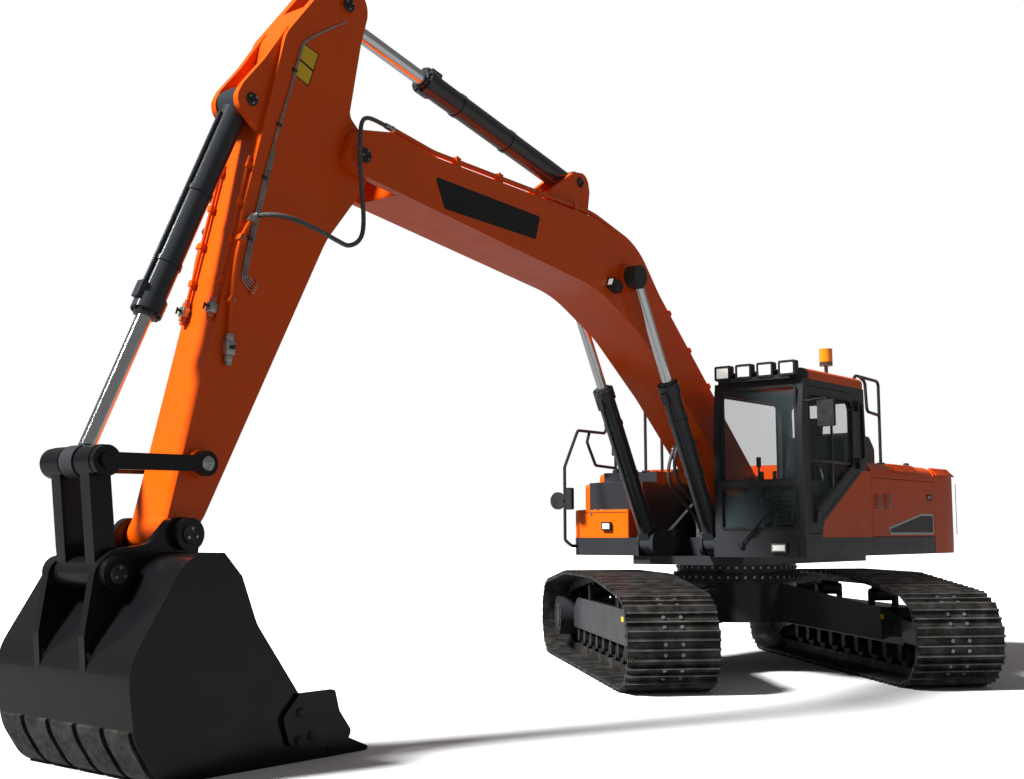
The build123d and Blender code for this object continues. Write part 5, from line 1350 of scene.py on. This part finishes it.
# =====================================================================================================
# Front: boom, arm, bucket, cylinders and hoses
# =====================================================================================================
@dataclass
class Front:
    """Pin caps, plates, pipes' clamps, valves and grease lines."""

    boom_half: float = 0.27
    arm_half: float = 0.19
    strip_top: float = -1.02        # the wear strips' upper ends, from the bucket's pin
    strip_end: float = 0.24         # and their ends under the bucket
    strip_width: float = 0.235
    strip_pitch: float = 0.290
    strip_thickness: float = 0.016

    def build(self) -> None:
        """Make all its pieces."""
        self.boom_plates()
        self.boom_trim()
        self.pin_caps()
        self.arm_sign()
        self.side_pipe()
        self.stop_valves()
        self.grease_lines()
        self.bucket_details()
        self.cylinder_details()

    def boom_plates(self) -> None:
        """Blank dark plate on each side of the boom."""
        corners = [(4.316, 0.539), (5.417, 0.133), (5.611, 0.314), (4.334, 0.761)]
        outline = rounded([(*corner, 0.02) for corner in corners])
        for name, face in SIDES:
            mirrored = BOOM @ Matrix.Diagonal((1, face, 1, 1))
            dark = Piece(f"boom_plate_{name}", "boom_body", mirrored, Finish.BLACK)
            dark.add(plate(outline, 0.003), [at(0, self.boom_half, 0)]).done()

    def boom_trim(self) -> None:
        """Bolts of the pipes' clamps and the boom lamp's lens."""
        trim = Piece("clamp_bolts", "boom_body", BOOM, Finish.BRIGHT_STEEL)
        runs = [  # start, end and the clamps' shares of the way
            (Vector((3.620, 1.215)), Vector((5.650, 0.470)), (0.12, 0.37, 0.62, 0.87)),
            (Vector((0.060, 0.205)), Vector((2.400, 1.060)), (0.5, 0.7, 0.9)),
        ]
        for start, end, shares in runs:
            for spot in (start.lerp(end, share) for share in shares):
                for face in (-1, 1):
                    foot = at(spot.x, face * 0.216, spot.y, pitch=slope(start, end))
                    trim.add(hexes(0.011, 0.012), [foot @ at(0, s * 0.018, 0.087) for s in (-1, 1)])
        trim.done()
        lens = Piece("boom_lamp_lens", "boom_body", BOOM, Finish.CLEAR_LENS, Finish.PLASTIC)
        lens.add(block((0.006, 0.056, 0.066), 0.002), [at(3.236, 0.313, 0.744)])
        edge = [(-0.037, -0.044), (0.037, -0.044), (0.037, 0.044), (-0.037, 0.044)]
        lens.add(surround(edge, 0.010, 0.008), [at(3.234, 0.311, 0.744, yaw=-90)], 1)
        lens.done()

    def pin_caps(self) -> None:
        """Turned caps with keeper bolts on the ends of the pins."""
        rows = [  # body, frame, along, up, half width, radius, finish
            ("boom_body", BOOM, 6.340, 0.0, 0.292, 0.058, Finish.DARK_STEEL),
            ("boom_body", BOOM, 2.982, 0.940, 0.316, 0.066, Finish.DARK_STEEL),
            ("boom_body", BOOM, 3.822, 1.500, 0.156, 0.048, Finish.DARK_STEEL),
            ("house", BOOM, 0.0, 0.0, 0.336, 0.063, Finish.DARK_STEEL),
            ("arm_body", ARM, -0.969, 0.649, 0.206, 0.056, Finish.DARK_STEEL),
            ("arm_body", ARM, 0.277, 0.947, 0.150, 0.048, Finish.DARK_STEEL),
            ("link_pair", ARM, 2.742, 0.0855, 0.300, 0.048, Finish.BRIGHT_STEEL),
        ]
        for number, (body, place, along, up, half, radius, finish) in enumerate(rows, 1):
            cap = Piece(f"pin_cap_{number}", body, place, finish, Finish.BRIGHT_STEEL)
            for face in (-1, 1):
                end = at(along, face * half, up) @ Matrix.Rotation(-face * pi / 2, 4, "X")
                dished = [(0.0, 0.0), (radius, 0.0), (radius, 0.008), (radius - 0.006, 0.014), (0.016, 0.014),
                          (0.010, 0.008), (0.0, 0.008)]
                cap.add(turned(dished, 32), [end])
                cap.add(hexes(0.009, 0.010), ring(end @ at(0, 0, 0.017), radius * 0.62, (0.5, 2.6, 4.7)), 1)
            cap.done()

    def arm_sign(self) -> None:
        """Blank yellow sign on the arm's side, split by a dark bar."""
        sign = Piece("arm_sign", "arm_body", ARM, Finish.YELLOW, Finish.BLACK)
        corners = [(-0.430, 0.671), (-0.144, 0.624), (-0.122, 0.768), (-0.396, 0.820)]
        sign.add(plate(corners, 0.0015), [at(0, self.arm_half, 0)])
        sign.add(surround(corners, 0.008, 0.002), [at(0, self.arm_half, 0)], 1)
        sign.add(plate([(-0.285, 0.650), (-0.269, 0.647), (-0.252, 0.790), (-0.268, 0.793)], 0.002),
                 [at(0, self.arm_half, 0)], 1)
        sign.done()

    def side_pipe(self) -> None:
        """Steel pipe down the arm's left face to its stop valve, with its elbow and clamps."""
        y = self.arm_half + 0.032
        points = [(1.06, y, 0.56), (1.16, y, 0.57), (1.30, y, 0.560), (1.55, y, 0.470), (1.90, y, 0.300)]
        for name, face in SIDES:
            mirrored = ARM @ Matrix.Diagonal((1, face, 1, 1))
            pipe_run(f"arm_side_pipe_{name}", "arm_body", mirrored, Finish.ORANGE, [points], 0.019)
            valve = Piece(f"arm_side_valve_{name}", "arm_body", mirrored, Finish.BRIGHT_STEEL, Finish.ORANGE,
                          Finish.DARK_STEEL)
            place = at(1.95, y, 0.277, pitch=26)
            valve.add(block((0.10, 0.060, 0.075), 0.010, 3), [place])
            necks = [place @ at(x, 0, 0) @ ALONG for x in (-0.07, 0.07)]
            valve.add(drum(0.030, 0.05, 24, 0.004), necks)
            valve.add(hexes(0.024, 0.035), [place @ at(0.105, 0, 0) @ ALONG])
            valve.add(drum(0.014, 0.04, 16, 0.002), [place @ at(0, 0.035, 0) @ ACROSS], 2)
            valve.add(hexes(0.034, 0.040), [at(1.075, y, 0.56) @ ALONG])
            for x, z in ((1.24, 0.565), (1.66, 0.418)):
                valve.add(block((0.050, 0.056, 0.060), 0.006), [at(x, y - 0.004, z)], 1)
                valve.add(hexes(0.009, 0.010), [at(x, y + 0.027, z) @ ACROSS], 0)
            valve.done()

    def stop_valves(self) -> None:
        """Silver bodies, caps and handles on the stop valves at the arm's front."""
        start, end = Vector((-0.342, 0.978)), Vector((3.149, 0.115))
        spot = start.lerp(end, 0.60)
        valves = Piece("stop_valves", "arm_body", ARM, Finish.BRIGHT_STEEL, Finish.DARK_STEEL)
        for face in (-1, 1):
            place = at(spot.x, face * 0.150, spot.y, pitch=slope(start, end)) @ at(0, 0, 0.027)
            valves.add(block((0.075, 0.060, 0.062), 0.008, 3), [place])
            valves.add(hexes(0.027, 0.028), [place @ at(s * 0.052, 0, 0) @ ALONG for s in (-1, 1)])
            valves.add(drum(0.010, 0.05, 14, 0.002), [place @ at(0, 0, 0.040)], 1)
            valves.add(block((0.05, 0.014, 0.010), 0.003), [place @ at(0.01, 0, 0.064)], 1)
        valves.done()

    def grease_lines(self) -> None:
        """Thin grease lines down the arm's left face to the fitting comb."""
        y = self.arm_half + 0.010
        route = [(-0.842, 0.599), (-0.430, 0.838), (-0.30, 0.82), (0.002, 0.749), (0.498, 0.665),
                 (0.929, 0.560),
                 (1.430, 0.433)]
        runs = []
        for k in range(4):
            shift = 0.012 * k
            if k < 2:
                line = [(x, y, z - shift * (i > 0)) for i, (x, z) in enumerate(route)]
            else:
                line = [(x, y, z - shift) for x, z in route[4:]]
            runs.append(line + [(1.475 - 0.02 * k, y, 0.40 - shift), (1.491 - 0.022 * k, y, 0.315)])
        pipe_run("grease_lines", "arm_body", ARM, Finish.BRIGHT_STEEL, runs, 0.0045)
        comb = Piece("grease_comb", "arm_body", ARM, Finish.ORANGE, Finish.BRIGHT_STEEL, Finish.RUBBER)
        comb.add(block((0.115, 0.020, 0.018), 0.003), [at(1.458, y, 0.303)])
        teeth = [at(1.425 + 0.022 * k, y + 0.002, 0.287) for k in range(4)]
        comb.add(drum(0.006, 0.022, 10, 0.001), teeth, 1)
        for x, z in ((-0.15, 0.79), (0.30, 0.70), (0.72, 0.61), (1.18, 0.50)):
            comb.add(block((0.024, 0.016, 0.040), 0.003), [at(x, y - 0.002, z - 0.004, pitch=14)], 2)
        comb.done()

    def heel_strip(self) -> list[tuple[float, float]]:
        """Outline of a wear strip bent round the bucket's heel.

        It thins out near the floor and the rearmost line of the solids.

        Returns:
            Corners of the outline as (along, up) from the bucket's pin.
        """
        ground, rearmost = -BUCKET.translation.z, CAD_BOX[1][0] - BUCKET.translation.x
        shell = rounded([(0.293, -0.112, 0.0), (0.700, -0.760, 0.380), (0.640, -1.180, 0.300),
                         (0.470, ground, 0.220),
                         (-0.830, ground, 0.0)], 12)
        heel = [spot for spot in shell if spot[1] < self.strip_top and spot[0] > 0]
        heel.append((self.strip_end, ground))
        outer = []
        for before, (x, z), after in zip(heel, heel[1:], heel[2:]):
            out = (Vector(after) - Vector(before)).normalized() * self.strip_thickness
            outer.append((min(x - out.y, rearmost), max(z + out.x, ground)))
        return heel + outer[::-1]

    def bucket_details(self) -> None:
        """Wear strips on the heel, cutters' bolts and pin caps of the bucket."""
        strips = Piece("wear_strips", "bucket_body", BUCKET, Finish.DARK_STEEL)
        starts = [at(0, (k - 2) * self.strip_pitch - self.strip_width / 2, 0) for k in range(5)]
        strips.add(plate(self.heel_strip(), self.strip_width), starts)
        strips.done()
        bolts = Piece("cutter_bolts", "bucket_body", BUCKET, Finish.DARK_STEEL)
        for face in (-1, 1):
            for shape, out in ((hexes(0.026, 0.018), 0.764), (drum(0.034, 0.006, 24, 0.001), 0.761)):
                bolts.add(shape, [at(x, face * out, z) @ ACROSS
                                  for x, z in ((-0.56, -1.13), (-0.66, -1.28), (-0.55, -1.30))])
        bolts.done()
        caps = Piece("bucket_pin_caps", "bucket_body", BUCKET, Finish.DARK_STEEL, Finish.BRIGHT_STEEL)
        for x, z in ((0.0, 0.0), (0.515, -0.235)):
            for face in (-1, 1):
                end = at(x, face * 0.341, z) @ Matrix.Rotation(-face * pi / 2, 4, "X")
                knob = [(0.0, 0.0), (0.062, 0.0), (0.062, 0.010), (0.054, 0.016), (0.0, 0.016)]
                caps.add(turned(knob, 32), [end])
                caps.add(hexes(0.010, 0.010), ring(end @ at(0, 0, 0.020), 0.036, (0.6, 2.7, 4.8)), 1)
        caps.done()

    def cylinder_details(self) -> None:
        """Gland rings with their bolts, and bands, of every cylinder."""
        boom_size, arm_size, bucket_size = (1.75, 0.106, 0.050), (2.03, 0.116, 0.060), (1.75, 0.106, 0.052)
        rows = [  # name, barrel's body, foot joint, rod's slide, (barrel length, radius, rod radius)
            ("boom_left", "boom_barrel_left", "boom_cylinder_tilt_left", "boom_rod_slide_left", boom_size),
            ("boom_right", "boom_barrel_right", "boom_cylinder_tilt_right", "boom_rod_slide_right", boom_size),
            ("arm", "arm_barrel", "arm_cylinder_tilt", "arm_rod_slide", arm_size),
            ("bucket", "bucket_barrel", "bucket_cylinder_tilt", "bucket_rod_slide", bucket_size),
        ]
        for name, body, foot, slide, (length, radius, rod) in rows:
            start = pin(foot)
            place = pitched(start, start + Vector(JOINTS[slide]["axis"]))
            gland = Piece(f"gland_{name}", body, place, Finish.CYLINDER, Finish.DARK_STEEL,
                          Finish.BRIGHT_STEEL)
            profile = [(rod + 0.001, 0.0), (rod + 0.030, 0.0), (rod + 0.026, 0.022), (rod + 0.001, 0.030)]
            gland.add(turned(profile, 36), [at(length, 0, 0) @ ALONG])
            heads = [at(length + 0.006, 0, 0, roll=k * 36) @ at(0, 0, radius - 0.017) @ ALONG
                     for k in range(10)]
            gland.add(hexes(0.010, 0.014), heads, 1)
            for x in (length * 0.45, length * 0.78):
                gland.add(turned([(radius - 0.0155, -0.018), (radius - 0.008, -0.018), (radius - 0.008, 0.018),
                                  (radius - 0.0155, 0.018)], 40), [at(x, 0, 0) @ ALONG])
            gland.done()


@dataclass(frozen=True)
class Hose:
    """One hydraulic hose of the front, from the route that its solid follows."""

    name: str
    radius: float
    length: float
    start: Vector
    curves: tuple[tuple[Vector, ...], ...]
    end: Vector
    steps: int
    bodies: tuple[str, str]

    def route(self) -> list[Vector]:
        """Corner points of the route."""
        points = [self.start, self.curves[0][0]]
        for a, b, c, d in self.curves:
            for k in range(1, self.steps + 1):
                t = k / self.steps
                rest = 1 - t
                points.append(a * rest ** 3 + b * (3 * t * rest ** 2) + c * (3 * t * t * rest) + d * t ** 3)
        return points + [self.end]

    def build(self) -> None:
        """Make the hose along its route, left on no body, and its end fittings on its two bodies."""
        points = self.route()
        curve = bpy.data.curves.new(self.name + "_line", "CURVE")
        curve.dimensions = "3D"
        add_spline(curve, points, 12)
        line = bpy.data.objects.new(self.name + "_line", curve)
        bpy.context.collection.objects.link(line)
        path = [tuple(vertex.co) for vertex in settled(line).vertices]
        curve.bevel_depth, curve.bevel_resolution, curve.use_fill_caps = self.radius, 4, True
        tube = settled(line)
        bpy.data.objects.remove(line)
        shape = bmesh.new()
        shape.from_mesh(tube)
        bmesh.ops.remove_doubles(shape, verts=shape.verts[:], dist=1e-5)
        bmesh.ops.recalc_face_normals(shape, faces=shape.faces[:])
        for face in shape.faces:
            face.smooth = len(face.verts) == 4
        shape.to_mesh(tube)
        shape.free()
        hose = hang(bpy.data.objects.new(self.name + "_sleeve", tube), None, (Finish.BRAID,))
        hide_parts(self.name)
        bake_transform(hose)
        self.fitting("near", points[0], points[1], self.bodies[1])
        self.fitting("far", points[-1], points[-2], self.bodies[0])

    def fitting(self, which: str, end: Vector, before: Vector, body: str) -> None:
        """Crimped ferrule and nut of one end.

        Args:
            which: Which end, for the piece's name.
            end: Where the hose ends.
            before: The next point of its route.
            body: The body that the fitting rides on.
        """
        way = (before - end).normalized().to_track_quat("Z", "Y").to_matrix().to_4x4()
        bore, wide, nut = self.radius + 0.0005, self.radius + 0.006, self.radius + 0.009
        ferrule = Piece(f"{self.name}_{which}_fitting", body, Matrix.Translation(end) @ way,
                        Finish.BRIGHT_STEEL)
        crimp = [(bore, 0.030), (wide, 0.030), (wide, 0.085), (self.radius + 0.003, 0.092),
                 (bore, 0.092)]
        ferrule.add(turned(crimp, 24), [Matrix.Identity(4)])
        ferrule.add(turned([(bore, 0.002), (nut, 0.002), (nut, 0.028), (bore, 0.028)], 6), [Matrix.Identity(4)])
        ferrule.done()


def hoses() -> list[Hose]:
    """All the hoses: two at the boom's nose and three at its foot."""
    made = []
    pipe_way = (BOOM @ Vector((0.446, 0, -0.101)) - BOOM @ Vector((0, 0, 0))).normalized()
    foot_way = (BOOM @ Vector((0.520, 0, -1.521)) - BOOM @ Vector((0, 0, 0))).normalized()
    up = Vector((0, 0, 1))
    for name, left in (("nose_hose_left", 1), ("nose_hose_right", -1)):
        out = Vector((0, left, 0))
        start, end = ARM @ Vector((1.040, left * 0.190, 0.560)), BOOM @ Vector((6.110, left * 0.216, 0.422))
        leaves, enters = start + out * 0.150, end + pipe_way * 0.150
        low = Vector((NOSE.x + 0.257, left * 0.400, NOSE.z - 0.760))
        beside = Vector((NOSE.x + 0.096, left * 0.336, NOSE.z - 0.087))
        made.append(Hose(name, 0.017, 2.471, start, (
            (leaves, leaves + out * 0.265, low + Vector((0.040, 0, -0.0064)), low),
            (low, low + Vector((-0.260, 0, 0.0416)), beside - up * 0.299, beside),
            (beside, beside + up * 0.346, enters + pipe_way * 0.246, enters),
        ), end, 4, ("boom_body", "arm_body")))
    feet = ((-0.120, 1.060, 1.282), (0.0, 1.160, 1.378), (0.120, 1.100, 1.320))
    for number, (y, along, length) in enumerate(feet, 1):
        start = HOUSE @ Vector((0.570, y, 1.400))
        end = BOOM @ Vector((along, y, -0.190 + (along - 0.190) * 0.520 / 1.521))
        leaves, enters = start + up * 0.100, end + foot_way * 0.100
        made.append(Hose(f"foot_hose_{number}", 0.018, length, start, (
            (leaves, leaves + up * 0.250, enters + foot_way * 0.600, enters),
        ), end, 7, ("boom_body", "house")))
    return made


# =====================================================================================================
# Carried-over pieces
# =====================================================================================================
NODE_FINISHES = {
    Finish.ORANGE: ("boom", "arm", "hood", "engine_door", "pump_door", "cab_side_panel", "counterweight",
                    "tank_panel", "boom_pipes", "arm_pipes"),
    # the tool box wears the lighter orange as painted sunlight
    Finish.SUNLIT_ORANGE: ("tool_box",),
    Finish.ROOF: ("cab_roof",),
    Finish.CHARCOAL: ("revolving_frame", "bulkhead", "cab_frame", "cab_door", "car_body", "tanks", "air_box",
                      "track_frame_left", "track_frame_right", "drive_left", "drive_right", "lift_lugs",
                      "handrails"),
    Finish.CYLINDER: ("arm_cylinder_barrel", "boom_cylinder_barrel_left", "boom_cylinder_barrel_right",
                      "bucket_cylinder_barrel"),
    Finish.BLACK: ("bucket", "bucket_teeth", "h_link", "side_links"),
    Finish.TRACK: ("track_left", "track_right"),
    Finish.DARK_STEEL: ("idler_left", "idler_right", "rollers_left", "rollers_right", "slew_race",
                        "engine_block"),
    Finish.GLASS: ("cab_glass", "door_glass"),
    Finish.CLOTH: ("operator_chair",),
    Finish.RUBBER: ("nose_hose_left", "nose_hose_right", "foot_hose_1", "foot_hose_2", "foot_hose_3"),
    Finish.PLASTIC: ("roof_lamps", "work_lamps", "mirrors", "cab_console", "boom_lamp"),
    Finish.BEACON: ("beacon",),
}
RODS = {
    "boom_cylinder_rod_left": (BOOM, (2.982, 0.385, 0.940)),
    "boom_cylinder_rod_right": (BOOM, (2.982, -0.385, 0.940)),
    "arm_cylinder_rod": (ARM, (-0.969, 0.0, 0.649)),
    "bucket_cylinder_rod": (BUCKET, (0.590, 0.0, 0.445)),
}


def dress_nodes() -> None:
    """Give every carried-over piece its finish."""
    dressed = {name: finish.material() for finish, names in NODE_FINISHES.items() for name in names}
    for name, (place, eye) in RODS.items():
        dressed[name] = Chrome(name + "_chrome", tuple(place @ Vector(eye))).build()
    for name, node in frame["nodes"].items():
        node.data.materials.clear()
        node.data.materials.append(dressed[name])
    LOG.info("%d carried-over pieces dressed", len(dressed))


def main() -> None:
    """Build the studio, the hoses and the details, and dress the machine."""
    logging.basicConfig(level=logging.INFO, format="%(name)s: %(message)s")
    Studio().build()
    for hose in hoses():
        hose.build()
    for group in (Undercarriage(), House(), Cab(), Front()):
        group.build()
    dress_nodes()


if __name__ == "__main__":
    main()
